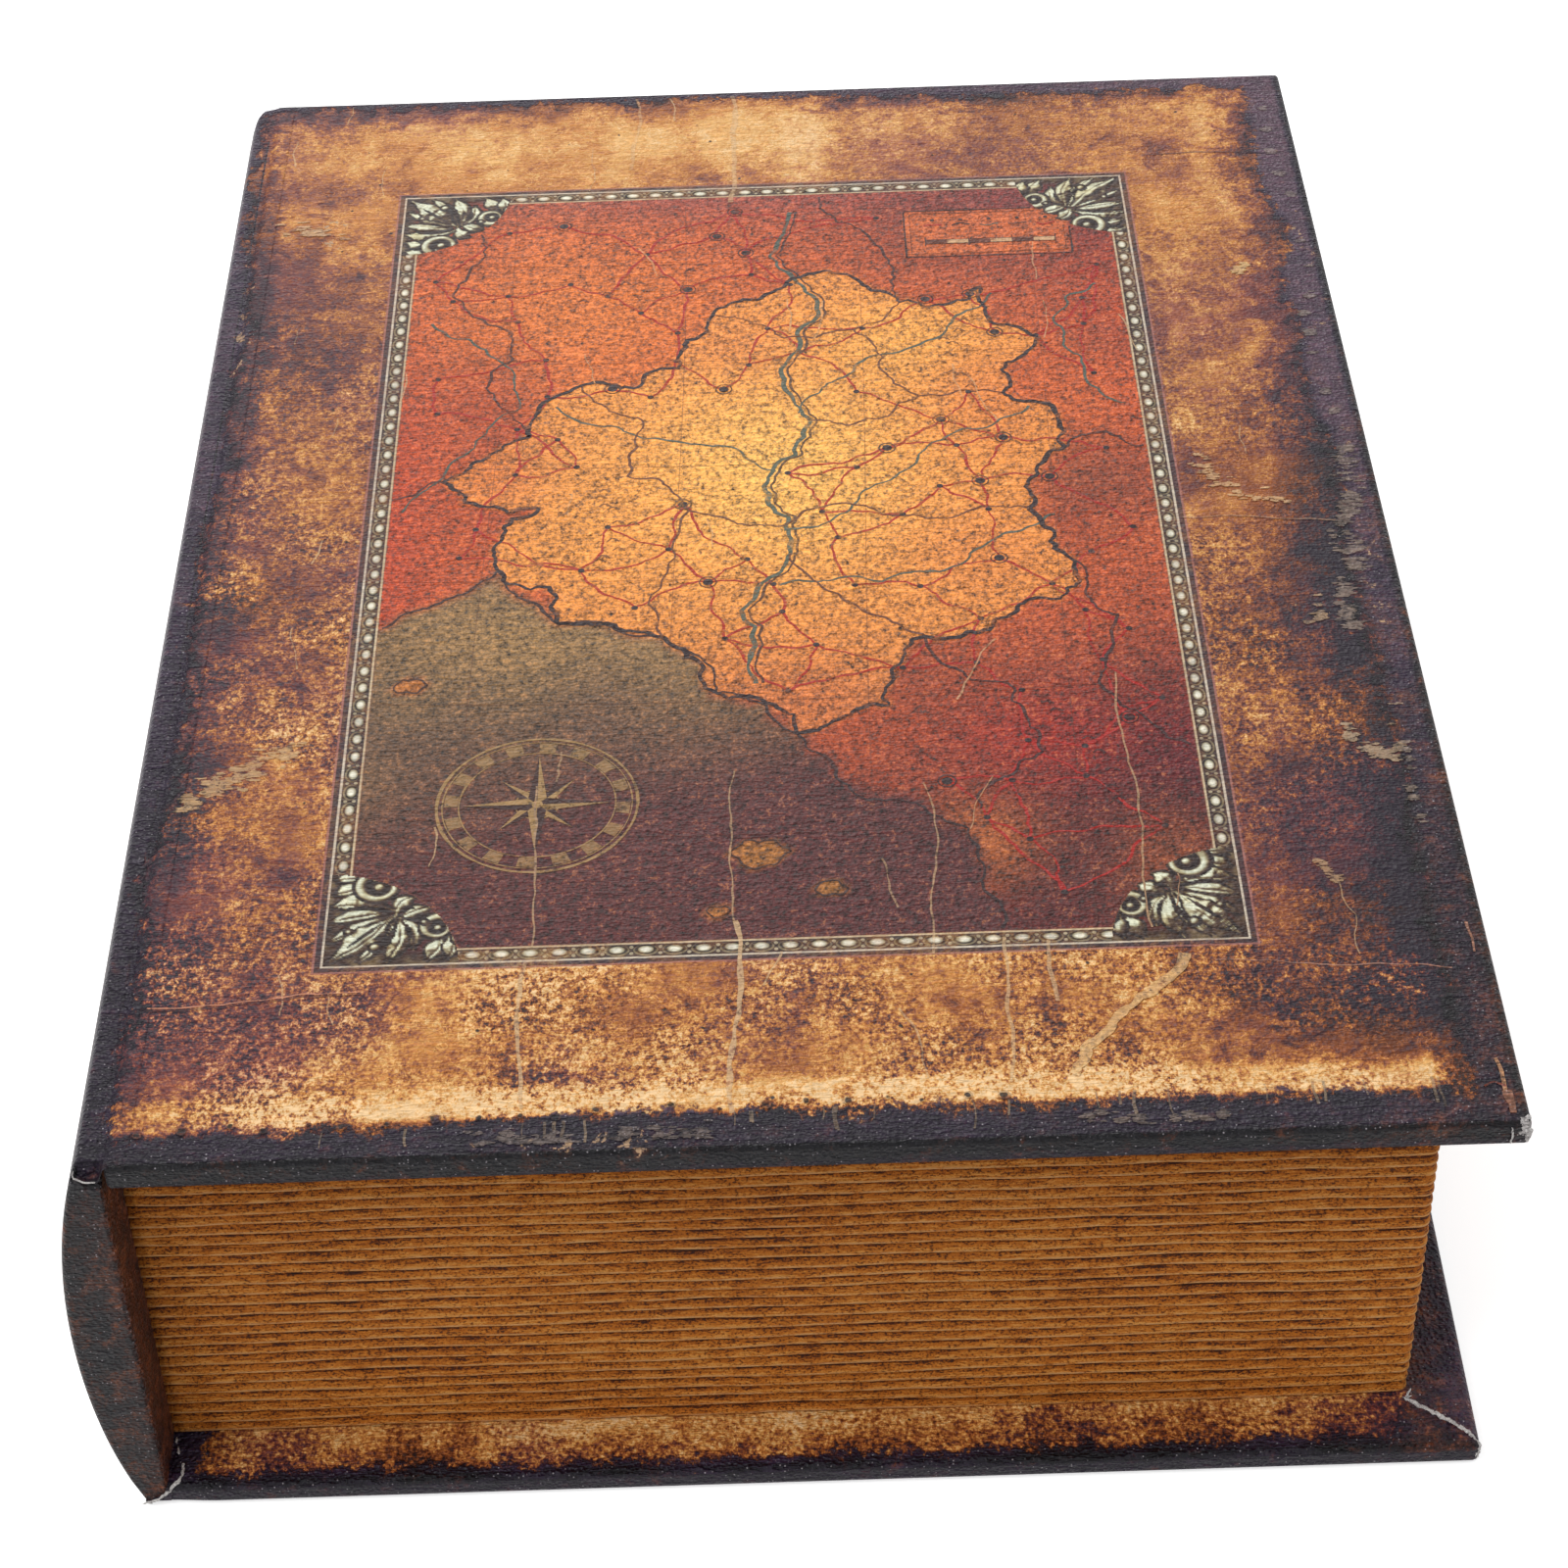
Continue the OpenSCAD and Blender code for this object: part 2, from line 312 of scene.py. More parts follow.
def softSlab(low, high, radius, pitch, rounds=4):
    # a closed box with every edge rounded, gridded so that its faces can carry painted fields
    low, high = np.asarray(low, float), np.asarray(high, float)
    lines = [gridLines(low[a], high[a], radius, pitch, rounds) for a in range(3)]
    counts = [len(places) for places in lines]
    quads = []
    for axis in range(3):
        across, along = (axis + 1) % 3, (axis + 2) % 3
        i, j = np.meshgrid(np.arange(counts[across] - 1), np.arange(counts[along] - 1), indexing="ij")
        for side in (0, counts[axis] - 1):
            corners = []
            for di, dj in ((0, 0), (1, 0), (1, 1), (0, 1)) if side else ((0, 0), (0, 1), (1, 1), (1, 0)):
                index = [None] * 3
                index[axis] = np.full(i.size, side)
                index[across], index[along] = (i + di).ravel(), (j + dj).ravel()
                corners.append((index[0] * counts[1] + index[1]) * counts[2] + index[2])
            quads.append(np.stack(corners, 1))
    quads = np.vstack(quads)
    keys, faces = np.unique(quads, return_inverse=True)
    faces = faces.reshape(quads.shape)
    points = np.stack([lines[0][keys // (counts[1] * counts[2])], lines[1][keys // counts[2] % counts[1]],
                       lines[2][keys % counts[2]]], 1)
    core = np.clip(points, low + radius, high - radius)
    away = points - core
    away *= radius / np.maximum(np.linalg.norm(away, axis=1, keepdims=True), 1e-9)
    return core + away, faces.tolist()


def sweep(rings):
    # rings of equal length joined one to the next and capped; every ring is itself a closed loop
    rings = np.asarray(rings, float)
    rows, columns = rings.shape[:2]
    faces = []
    for a in range(0, (rows - 1) * columns, columns):
        b = a + columns
        faces += [[a + c, a + (c + 1) % columns, b + (c + 1) % columns, b + c] for c in range(columns)]
    faces += [list(range(columns))[::-1], [(rows - 1) * columns + c for c in range(columns)]]
    return rings.reshape(-1, 3), faces


def lengthsAlong(path):
    return np.concatenate([[0], np.cumsum(np.linalg.norm(np.diff(path, axis=0), axis=1))])


def evenly(path, far, count):
    # the path again, as evenly spaced points
    return np.stack([np.interp(np.linspace(0, far[-1], count), far, along) for along in path.T], 1)


def unit(rows):
    return rows / np.maximum(np.linalg.norm(rows, axis=1, keepdims=True), 1e-9)


def turns(count):
    # angles once round a circle
    return np.linspace(0, 2 * math.pi, count + 1)[:-1]


def softNoise(x, y, size, seed, octaves=4, keep=0.55):
    # smooth seeded noise, about -1 to 1, for shapes and for broad patches of colour
    table = np.random.default_rng(seed).random((128, 128)) * 2 - 1
    total, weight, reach = np.zeros(np.shape(x)), 1.0, 0.0
    for octave in range(octaves):
        u, v = np.asarray(x) / size + 7.3 * octave, np.asarray(y) / size + 3.1 * octave
        i, j = np.floor(u).astype(int), np.floor(v).astype(int)
        fu, fv = u - i, v - j
        fu, fv = fu * fu * (3 - 2 * fu), fv * fv * (3 - 2 * fv)
        near = table[i % 128, j % 128] * (1 - fu) + table[(i + 1) % 128, j % 128] * fu
        far = table[i % 128, (j + 1) % 128] * (1 - fu) + table[(i + 1) % 128, (j + 1) % 128] * fu
        total, reach = total + weight * (near * (1 - fv) + far * fv), reach + weight
        weight, size = weight * keep, size / 2
    return total / reach * 1.6


def smooth(value, low, high):
    t = np.clip((np.asarray(value, float) - low) / (high - low), 0, 1)
    return t * t * (3 - 2 * t)


def mixed(first, second, share):
    return first * (1 - share) + second * share


def mound(x, y, px, py, rx, ry):
    # 1 at its middle, fading out over its reach
    return np.exp(-(((x - px) / rx) ** 2 + ((y - py) / ry) ** 2))


def spots(x, y, start, marks):
    # soft brush marks laid one over the other: place, reach, value, strength
    total = np.full(np.shape(x), float(start))
    for px, py, rx, ry, value, strength in marks:
        total = mixed(total, value, strength * mound(x, y, px, py, rx, ry))
    return total


# Shared effects, as node groups with the place given in millimetres

grainLook = {"foldSize": 1.0, "foldStretch": (0.22, 1.0, 1.0), "creaseWide": 0.13, "creaseDeep": -0.22,
             "pebbleSize": 0.62, "glintSize": 0.60, "glintReach": (0.10, 0.26), "glintRare": (0.58, 0.95)}


def makeLeatherGrain():
    tree, given, out = newGroup("leatherGrain", [("Place", "vector"), ("Wrinkle", "value"),
                                                 ("Pebble", "value")],
                                [("Height", "value"), ("Crease", "value"), ("Glint", "value")])
    place = given["Place"]
    folds = fractal(tree, stretch(tree, place, grainLook["foldStretch"]), grainLook["foldSize"], 2, 0.55, 0.4)
    ridge = calc(tree, "ABSOLUTE", swing(tree, folds, 2.0))
    crease = step(tree, ridge, 0.0, grainLook["creaseWide"], 1.0, 0.0)
    wrinkles = times(tree, addUp(tree, folds, times(tree, crease, grainLook["creaseDeep"])), given["Wrinkle"])
    pebbles = times(tree, cells(tree, place, grainLook["pebbleSize"]).outputs["Distance"], given["Pebble"])
    plug(tree, out["Height"], addUp(tree, wrinkles, pebbles))
    # Crease: high in the creases, low on the fold tops; finishLeather paints shade with it
    plug(tree, out["Crease"], addUp(tree, crease, swing(tree, folds, -1.6)))
    # painted highlights: Glint marks tiny scattered specks that stand in for glints of light on the grain
    specks = cells(tree, place, grainLook["glintSize"])
    near = step(tree, specks.outputs["Distance"], *grainLook["glintReach"], 1.0, 0.0)
    draw = addNode(tree, "ShaderNodeSeparateColor", {0: specks.outputs["Color"]}).outputs[0]
    plug(tree, out["Glint"], times(tree, near, step(tree, draw, *grainLook["glintRare"])))
    return tree


goldInk = [(0.0, paint(42, 22, 16)), (0.20, paint(88, 42, 20)), (0.40, paint(146, 79, 38)),
           (0.60, paint(199, 129, 60)), (0.78, paint(227, 171, 97)), (1.0, paint(242, 202, 150))]
rustInk = [(0.0, paint(30, 20, 34)), (0.25, paint(70, 34, 44)), (0.50, paint(122, 60, 52)),
           (0.72, paint(172, 98, 64)), (1.0, paint(212, 154, 108))]
charcoal = [(0.20, paint(10, 8, 15)), (0.45, paint(28, 18, 35)), (0.62, paint(47, 32, 54)),
            (0.85, paint(94, 68, 84))]
rustStains = [(0.25, paint(40, 22, 20)), (0.52, paint(82, 40, 26)), (0.8, paint(146, 84, 52))]
peelTones = [(0.3, paint(112, 92, 80)), (0.65, paint(178, 144, 112))]
printFields = ("tone", "border", "hue", "grit", "rust", "peel", "worn")
printLook = {"mediumSize": 3.6, "fineSize": 0.74, "edgeWander": (9, 4.5), "edgeSoft": (-0.6, 0.9),
             "burntWide": 7.0, "burntDeep": -0.34, "fleck": 5.4, "curlSize": 2.6, "curlWide": 0.035,
             "curlPale": 0.24, "blotch": 0.14, "gritBlotch": 0.6, "islandSize": 9.0, "islandDeep": -0.20,
             "pitSize": 5.2, "pitColour": paint(40, 24, 20), "bareColour": paint(196, 190, 188)}


def makeAgedPrint():
    # mottled parchment inside an irregular burnt edge, on dark leather
    tree, given, out = newGroup(
        "agedPrint", [("Place", "vector")] + [(name.capitalize(), "value") for name in printFields],
        [("Colour", "colour")] + [(name, "value") for name in ("Printed", "Bare", "Medium", "Fine")])
    look, place = printLook, given["Place"]
    medium = fractal(tree, place, look["mediumSize"], 5, 0.62, 0.5)
    fine = fractal(tree, stretch(tree, place, (1.0, 0.8, 1.0)), look["fineSize"], 3, 0.72)

    def stirred(start, byMedium, byFine, *more):
        # a value made uneven by the two noises
        return addUp(tree, start, swing(tree, medium, byMedium), swing(tree, fine, byFine), *more)

    edge = stirred(given["Border"], *look["edgeWander"])
    printed = step(tree, edge, *look["edgeSoft"])
    burnt = step(tree, edge, 0.0, look["burntWide"], look["burntDeep"], 0.0, "LINEAR")
    fleck = times(tree, swing(tree, fine, look["fleck"]), given["Grit"])
    curls = calc(tree, "ABSOLUTE", swing(tree, fractal(tree, place, look["curlSize"], 2, 0.5, 2.2), 1.0))
    curls = times(tree, step(tree, curls, 0.0, look["curlWide"], look["curlPale"], 0.0),
                  step(tree, medium, 0.42, 0.56))
    blotch = times(tree, swing(tree, medium, 1.0),
                   addUp(tree, look["blotch"], times(tree, given["Grit"], look["gritBlotch"])))
    broad = fractal(tree, place, look["islandSize"], 6, 0.74, 0.9)
    islands = step(tree, addUp(tree, broad, swing(tree, fine, 0.25)), 0.56, 0.66, 0.0, look["islandDeep"])
    value = addUp(tree, given["Tone"], burnt, blotch, fleck, curls, islands)
    coolEdge = step(tree, edge, 0.0, 9.0, -0.35, 0.0, "LINEAR")
    warm = step(tree, stirred(given["Hue"], 1.1, 1.4, islands, coolEdge), 0.12, 0.88)
    inked = mixColour(tree, warm, ramp(tree, value, rustInk), ramp(tree, value, goldInk))
    pits = cells(tree, place, look["pitSize"]).outputs["Distance"]
    pit = step(tree, addUp(tree, pits, swing(tree, fine, 0.15)), 0.035, 0.075, 1.0, 0.0)
    inked = mixColour(tree, pit, inked, look["pitColour"])
    dark = ramp(tree, stirred(given["Tone"], 0.5, 0.35), charcoal)
    rusty = ramp(tree, addUp(tree, medium, swing(tree, fine, 1.1)), rustStains)
    rust = step(tree, stirred(given["Rust"], 1.2, 0.6), 0.12, 0.88, 0.0, 0.9)
    colour = mixColour(tree, printed, mixColour(tree, rust, dark, rusty), inked)
    peeled = step(tree, stirred(given["Peel"], 1.9, 0.8), 0.50, 0.56)
    colour = mixColour(tree, peeled, colour, ramp(tree, addUp(tree, medium, swing(tree, fine, 0.9)), peelTones))
    bare = step(tree, stirred(given["Worn"], 1.2, 1.2), 0.50, 0.60)
    colour = mixColour(tree, bare, colour, look["bareColour"])
    for label, result in (("Colour", colour), ("Printed", printed), ("Bare", bare), ("Medium", medium),
                          ("Fine", fine)):
        plug(tree, out[label], result)
    return tree


def makeFibre():
    # loose paper and flock fibre, for the page edges, the torn seams and the lining
    tree, given, out = newGroup("fibre", [("Place", "vector"), ("Size", "value")],
                                [("Nap", "value"), ("Clump", "value")])
    place = addNode(tree, "ShaderNodeVectorMath", {0: given["Place"], "Scale": given["Size"]},
                    operation="SCALE").outputs[0]
    plug(tree, out["Nap"], fractal(tree, place, 0.35, 2, 0.7))
    plug(tree, out["Clump"], fractal(tree, place, 3.5, 3, 0.6))
    return tree


leatherGrain, agedPrint, fibre = makeLeatherGrain(), makeAgedPrint(), makeFibre()


# Materials

leather = {"roughness": 0.42, "printedRoughness": 0.52, "bareRoughness": 0.85, "wrinkle": 0.8, "pebble": 0.38,
           "shine": 0.23, "bump": 0.0011, "glint": paint(196, 188, 194)}


def finishLeather(tree, shader, place, colour, aged):
    grain = useGroup(tree, leatherGrain, {"Place": place, "Wrinkle": leather["wrinkle"],
                                          "Pebble": leather["pebble"]})
    # painted highlights: specks of the glint colour mixed into the leather's colour, fading out on the print
    glint = times(tree, grain["Glint"], minus(tree, 0.6, aged["Printed"], True))
    # painted shade: the colour is darkened in the creases and lightened on the fold tops, less so on the print
    creaseShaded = mixColour(tree, step(tree, aged["Printed"], 0, 1, 1.0, 0.3, "LINEAR"), colour,
                       step(tree, grain["Crease"], -0.5, 1.1, 1.26, 0.60, "LINEAR"), "MULTIPLY")
    plug(tree, shader.inputs["Base Color"], mixColour(tree, glint, creaseShaded, leather["glint"]))
    shader.inputs["Specular IOR Level"].default_value = leather["shine"]
    rough = step(tree, aged["Printed"], 0, 1, leather["roughness"], leather["printedRoughness"], "LINEAR")
    rough = addUp(tree, rough, swing(tree, aged["Fine"], 0.25),
                  times(tree, aged["Bare"], leather["bareRoughness"] - leather["roughness"]))
    plug(tree, shader.inputs["Roughness"], rough)
    height = times(tree, grain["Height"], step(tree, aged["Printed"], 0, 1, 1.0, 0.5, "LINEAR"))
    bumpInto(tree, shader, height, leather["bump"])


def agedFrom(tree, place):
    return useGroup(tree, agedPrint, {"Place": place, **{n.capitalize(): field(tree, n) for n in printFields}})


def makeCaseLeather():
    material, tree, shader = newMaterial("caseLeather")
    place = field(tree, "rest", "Vector")
    aged = agedFrom(tree, place)
    finishLeather(tree, shader, place, aged["Colour"], aged)
    return material


# the map and its printed frame, in millimetres from the middle of the cover
mapPlan = {"centreX": 1.25, "centreY": 1.0, "halfWide": 65.35, "halfLong": 101.1, "frameWide": 4.4,
           "cornerReach": 20.4}
bead = {"pitch": 4.0, "line": 2.78, "long": 1.78, "wide": 1.12, "scrollOff": 0.62, "scrollWide": 0.36,
        "scrollColour": paint(170, 156, 128), "reach": 6.0,
        # distance inside the outer line, and the colour from there on
        "bands": [(0.0, (160, 104, 94)), (0.26, (160, 104, 94)), (0.36, (56, 38, 44)), (1.08, (52, 38, 44)),
                  (1.18, (206, 192, 172)), (1.44, (206, 192, 172)), (1.56, (54, 38, 36)), (3.9, (50, 34, 32)),
                  (4.0, (206, 186, 152)), (4.24, (198, 172, 138)), (4.34, (110, 66, 50))],
        "oval": [(0.0, paint(132, 118, 90)), (0.14, paint(110, 94, 70)), (0.22, paint(26, 18, 20)),
                 (0.36, paint(40, 30, 28)), (0.46, paint(156, 146, 116)), (0.74, paint(238, 234, 214))]}


def beadBand(tree, place, aged):
    # the printed moulding: bands by the distance inside the frame's outer line, beads by the distance along it
    parts = addNode(tree, "ShaderNodeSeparateXYZ", {0: place}).outputs
    fromX, fromY = (minus(tree, mapPlan[half], calc(tree, "ABSOLUTE",
                                                    minus(tree, parts[axis], mapPlan[middle])))
                    for axis, half, middle in ((0, "halfWide", "centreX"), (1, "halfLong", "centreY")))
    inward = calc(tree, "MINIMUM", fromX, fromY)
    onSide = calc(tree, "LESS_THAN", fromX, fromY)
    along = addNode(tree, "ShaderNodeMix", {0: onSide, 2: parts[0], 3: parts[1]}).outputs[0]
    pitch = bead["pitch"]
    across = minus(tree, inward, bead["line"])
    turn = calc(tree, "FRACT", calc(tree, "DIVIDE", addUp(tree, along, 100 * pitch), pitch))
    lengthways = times(tree, calc(tree, "ABSOLUTE", minus(tree, turn, 0.5)), pitch)

    def oval(u, v, ru, rv):
        squares = [calc(tree, "POWER", calc(tree, "DIVIDE", *pair), 2.0) for pair in ((u, ru), (v, rv))]
        return minus(tree, 1.0, calc(tree, "SQRT", addUp(tree, *squares)))

    bands = ramp(tree, calc(tree, "DIVIDE", inward, bead["reach"]),
                 [(low / bead["reach"] + 0.004, paint(*shade)) for low, shade in bead["bands"]])
    ovals = oval(lengthways, across, bead["long"], bead["wide"])
    ovalColour = ramp(tree, addUp(tree, ovals, times(tree, across, 0.16)), bead["oval"])
    colour = mixColour(tree, step(tree, ovals, -0.02, 0.06), bands, ovalColour)
    scroll = oval(minus(tree, lengthways, pitch / 2), minus(tree, calc(
        tree, "ABSOLUTE", across), bead["scrollOff"]), bead["scrollWide"], bead["scrollWide"])
    colour = mixColour(tree, step(tree, scroll, 0.0, 0.4), colour, bead["scrollColour"])
    return mixColour(tree, step(tree, aged["Medium"], 0.34, 0.66, 0.34, 0.0), colour, aged["Colour"]), inward


mapInk = {"mottle": (0.9, 4.6), "fleckColour": paint(206, 140, 84), "strokeSize": 1.5,
          "strokeColour": paint(48, 34, 42)}


def makeMapLeather():
    # the case leather with the map, its lines and its printed frame on it
    material, tree, shader = newMaterial("mapLeather")
    place = field(tree, "rest", "Vector")
    aged = agedFrom(tree, place)
    inMap = field(tree, "mapInside")
    tint = field(tree, "mapTint", "Color")
    medium, fine = aged["Medium"], aged["Fine"]
    mottle = addUp(tree, 0.97, swing(tree, medium, mapInk["mottle"][0]), swing(tree, fine, mapInk["mottle"][1]))
    tint = mixColour(tree, 1.0, tint, mottle, "MULTIPLY")
    flecks = step(tree, addUp(tree, fine, swing(tree, medium, 0.4)), 0.59, 0.70, 0.0, 0.36)
    tint = mixColour(tree, flecks, tint, mapInk["fleckColour"])
    strokes = cells(tree, stretch(tree, place, (1.0, 0.72, 1.0)), mapInk["strokeSize"], 0.35)
    stroke = times(tree, step(tree, strokes.outputs["Distance"], 0.20, 0.36, 1.0, 0.0),
                   step(tree, medium, 0.36, 0.64, 0.44, 0.80))
    tint = mixColour(tree, stroke, tint, mixColour(tree, 0.25, mapInk["strokeColour"], tint))
    edge = step(tree, addUp(tree, inMap, swing(tree, fine, 0.5)), -0.12, 0.12)
    frameColour, inward = beadBand(tree, place, aged)
    onFrame = times(tree, step(tree, addUp(tree, inward, swing(tree, fine, 0.4)), -0.08, 0.08),
                    field(tree, "frameMask"))
    colour = mixColour(tree, onFrame, aged["Colour"], frameColour)
    colour = mixColour(tree, edge, colour, tint)
    inkHold = times(tree, field(tree, "ink"), step(
        tree, addUp(tree, medium, swing(tree, fine, 1.1)), 0.30, 0.46, 0.35, 1.0))
    colour = mixColour(tree, inkHold, colour, field(tree, "inkColour", "Color"))
    finishLeather(tree, shader, place, colour, aged)
    return material


pageLook = {
    # each noise: how far it is drawn out along the strip, its size, detail, roughness, and its part in the tone
    "lines": (0.09, 0.35, 3, 0.7, 1.9), "dabs": (0.30, 1.0, 4, 0.72, 0.9), "broad": (0.35, 12, 2, 0.55, 0.7),
    "fine": (0.6, 0.30, 2, 0.7, 1.3),
    "tones": [(0.0, paint(26, 12, 10)), (0.26, paint(94, 42, 10)), (0.50, paint(168, 91, 22)),
              (0.86, paint(196, 117, 38)), (1.0, paint(210, 142, 66))],
    "speckColour": paint(60, 29, 12), "crestHighlight": paint(206, 160, 112), "shine": 0.2, "bump": 0.0005}


def makePageEdge():
    material, tree, shader = newMaterial("pageEdge")
    strip = field(tree, "strip", "Vector")  # along the strip, height, and 0 in a groove to 1 on a crest
    ridge = addNode(tree, "ShaderNodeSeparateXYZ", {0: strip}).outputs[2]
    noise = {name: fractal(tree, stretch(tree, strip, (pageLook[name][0], 1.0, 0.0)), *pageLook[name][1:4])
             for name in ("lines", "dabs", "broad", "fine")}
    # painted shade and highlight: the tone follows the ridge, dark down in each groove and light towards each
    # crest
    value = addUp(tree, ridge, *(swing(tree, noise[name], pageLook[name][4]) for name in noise), -0.02)
    face = ramp(tree, value, pageLook["tones"])
    specks = step(tree, addUp(tree, noise["dabs"], swing(tree, noise["fine"], 2.0), times(tree, ridge, 0.22)),
                  0.40, 0.56, 0.78, 0.0)
    face = mixColour(tree, specks, face, pageLook["speckColour"])
    # painted highlight: a pale broken line along each crest
    crest = times(tree, step(tree, ridge, 0.86, 0.99), step(tree, noise["dabs"], 0.38, 0.58, 0.10, 0.75))
    face = mixColour(tree, crest, face, pageLook["crestHighlight"])
    shader.inputs["Specular IOR Level"].default_value = pageLook["shine"]
    plug(tree, shader.inputs["Base Color"], face)
    plug(tree, shader.inputs["Roughness"], step(tree, noise["fine"], 0.3, 0.7, 0.62, 0.82, "LINEAR"))
    bumpInto(tree, shader, addUp(tree, noise["lines"], swing(tree, noise["fine"], 0.8)), pageLook["bump"])
    return material


def makeFibreMaterial(name, dark, pale, roughness, size, bumpHeight, onBoard=False):
    material, tree, shader = newMaterial(name)
    place = objectMillimetres(tree) if onBoard else field(tree, "rest", "Vector")
    made = useGroup(tree, fibre, {"Place": place, "Size": size})
    shade = addUp(tree, made["Nap"], swing(tree, made["Clump"], 0.8))
    plug(tree, shader.inputs["Base Color"], ramp(tree, shade, [(0.28, paint(*dark)), (0.72, paint(*pale))]))
    plug(tree, shader.inputs["Roughness"], step(tree, made["Nap"], 0.3, 0.7, roughness - 0.08, roughness + 0.06,
                                                "LINEAR"))
    bumpInto(tree, shader, made["Nap"], bumpHeight)
    return material, shader


def makeMagnetMetal():
    material, tree, shader = newMaterial("magnetMetal")
    scuff = fractal(tree, stretch(tree, objectMillimetres(tree), (1, 6, 1)), 0.8, 4, 0.6)
    plug(tree, shader.inputs["Base Color"], ramp(tree, scuff, [(0.3, paint(168, 170, 174)),
                                                              (0.7, paint(206, 207, 210))]))
    shader.inputs["Metallic"].default_value = 1.0
    plug(tree, shader.inputs["Roughness"], step(tree, scuff, 0.3, 0.7, 0.18, 0.36))
    return material


def makeOrnamentInk():
    # the printed corner ornaments: their carved shading is painted on the mesh
    material, tree, shader = newMaterial("ornamentInk")
    place = field(tree, "rest", "Vector")
    aged = agedFrom(tree, place)
    shade = mixColour(tree, 1.0, field(tree, "carving", "Color"),
                      step(tree, aged["Fine"], 0.3, 0.7, 0.82, 1.12), "MULTIPLY")
    finishLeather(tree, shader, place, shade, aged)
    return material


caseLeather, mapLeather, pageEdge, magnetMetal, ornamentInk = (
    makeCaseLeather(), makeMapLeather(), makePageEdge(), makeMagnetMetal(), makeOrnamentInk())
# darkest and palest fibre, roughness, fibre size, bump height
board = makeFibreMaterial("greyBoard", (134, 112, 84), (176, 150, 116), 0.85, 0.7, 0.00008, True)[0]
flock, flockShader = makeFibreMaterial("flock", (42, 14, 12), (78, 30, 24), 0.92, 1.0, 0.00015)
for name, value in (("Weight", 0.35), ("Roughness", 0.5), ("Tint", paint(170, 110, 96))):
    flockShader.inputs["Sheen " + name].default_value = value
jointCloth = makeFibreMaterial("jointCloth", (30, 20, 18), (58, 40, 34), 0.85, 1.4, 0.0001)[0]
tornPaper = makeFibreMaterial("tornPaper", (148, 140, 140), (240, 237, 233), 0.9, 1.6, 0.0003)[0]
print("materials made")


# Painted fields of the print: how light, how far inside the burnt edge, how golden, what is rubbed off

coverMarks = {
    # brush marks on the upper cover: x, y, reach in x, reach in y, value, strength
    "tone": [(0, 118, 130, 20, 0.66, 0.95), (-60, 120, 30, 12, 0.72, 0.7), (8, 118, 5, 22, 0.82, 0.7),
             (52, 116, 22, 12, 0.52, 0.8), (-78, 104, 12, 5, 0.34, 0.7), (-78, 90, 10, 8, 0.58, 0.8),
             (-78, 68, 12, 12, 0.38, 0.8), (-80, 44, 12, 16, 0.22, 0.8), (-79, 14, 10, 14, 0.42, 0.8),
             (-80, -18, 12, 12, 0.28, 0.8), (-74, -40, 12, 12, 0.36, 0.8), (-74, -74, 12, 14, 0.42, 0.85),
             (-84, -66, 7, 12, 0.22, 0.8), (-78, -96, 12, 8, 0.34, 0.8), (78, 108, 16, 4, 0.40, 0.6),
             (78, 78, 12, 24, 0.58, 0.85), (76, 34, 12, 18, 0.54, 0.85), (76, 4, 12, 12, 0.48, 0.8),
             (84, -14, 9, 8, 0.24, 0.8),
             (80, -36, 12, 16, 0.34, 0.85), (78, -76, 16, 26, 0.26, 0.9), (0, -110, 110, 12, 0.50, 0.95),
             (-79, -111, 15, 7, 0.26, 0.85), (-47, -112, 17, 9, 0.60, 0.8), (-10, -108, 16, 7, 0.44, 0.6),
             (52, -106, 26, 5, 0.38, 0.7), (74, -111, 18, 8, 0.16, 0.92), (80, -96, 12, 12, 0.20, 0.9),
             (50, -110, 9, 8, 0.62, 0.6), (0, -120.6, 90, 2.2, 0.50, 0.5)],
    "hue": [(0, 118, 130, 22, 0.88, 0.95), (76, 104, 18, 16, 0.30, 0.85), (54, -106, 26, 6, 0.3, 0.6),
            (56, 114, 24, 14, 0.30, 0.9), (-78, 104, 14, 6, 0.1, 0.6), (-78, 66, 14, 16, 0.30, 0.8),
            (-79, 14, 12, 16, 0.75, 0.8), (-78, -20, 14, 16, 0.4, 0.6),
            (-74, -74, 14, 14, 0.85, 0.8), (-80, -98, 12, 10, 0.10, 0.8), (78, 70, 14, 30, 0.50, 0.7),
            (76, 34, 14, 18, 0.75, 0.7), (80, -30, 14, 22, 0.25, 0.8), (78, -76, 18, 28, 0.06, 0.9),
            (0, -110, 110, 16, 0.72, 0.8), (-80, -110, 17, 8, 0.14, 0.85), (76, -108, 20, 12, 0.02, 0.9),
            (0, -126, 120, 3.4, 1.35, 0.95), (-42, -112, 14, 9, 1.05, 0.8)],
    "peel": [(95, 60, 1.6, 60, 0.36, 1), (94, -20, 2.0, 14, 0.46, 1), (84, -27, 4, 4, 0.42, 1),
             (-88.5, 60, 1.8, 22, 0.42, 1), (-78, 90, 9, 7, 0.34, 1), (-26, -133, 18, 2, 0.42, 1)],
    "bareBorder": -6.0,  # what counts as well outside the print
    "stripTone": 0.87, "stripWide": (3.6, 7.2),  # the pale strip along the front
    # the first three here: painted shade over the cover's rounded edge
    "edgeShade": 0.08, "edgeShadeLeft": 0.12, "edgeShadeTop": 0.42, "underTone": 0.36,
    "cornerWorn": (0.80, 1.9), "backCornerWorn": (0.40, 2.2), "rust": 0.12, "rustRight": 0.20,
}


def wornCorner(distance, strength, reach):
    return strength * np.exp(-(distance / reach) ** 2)


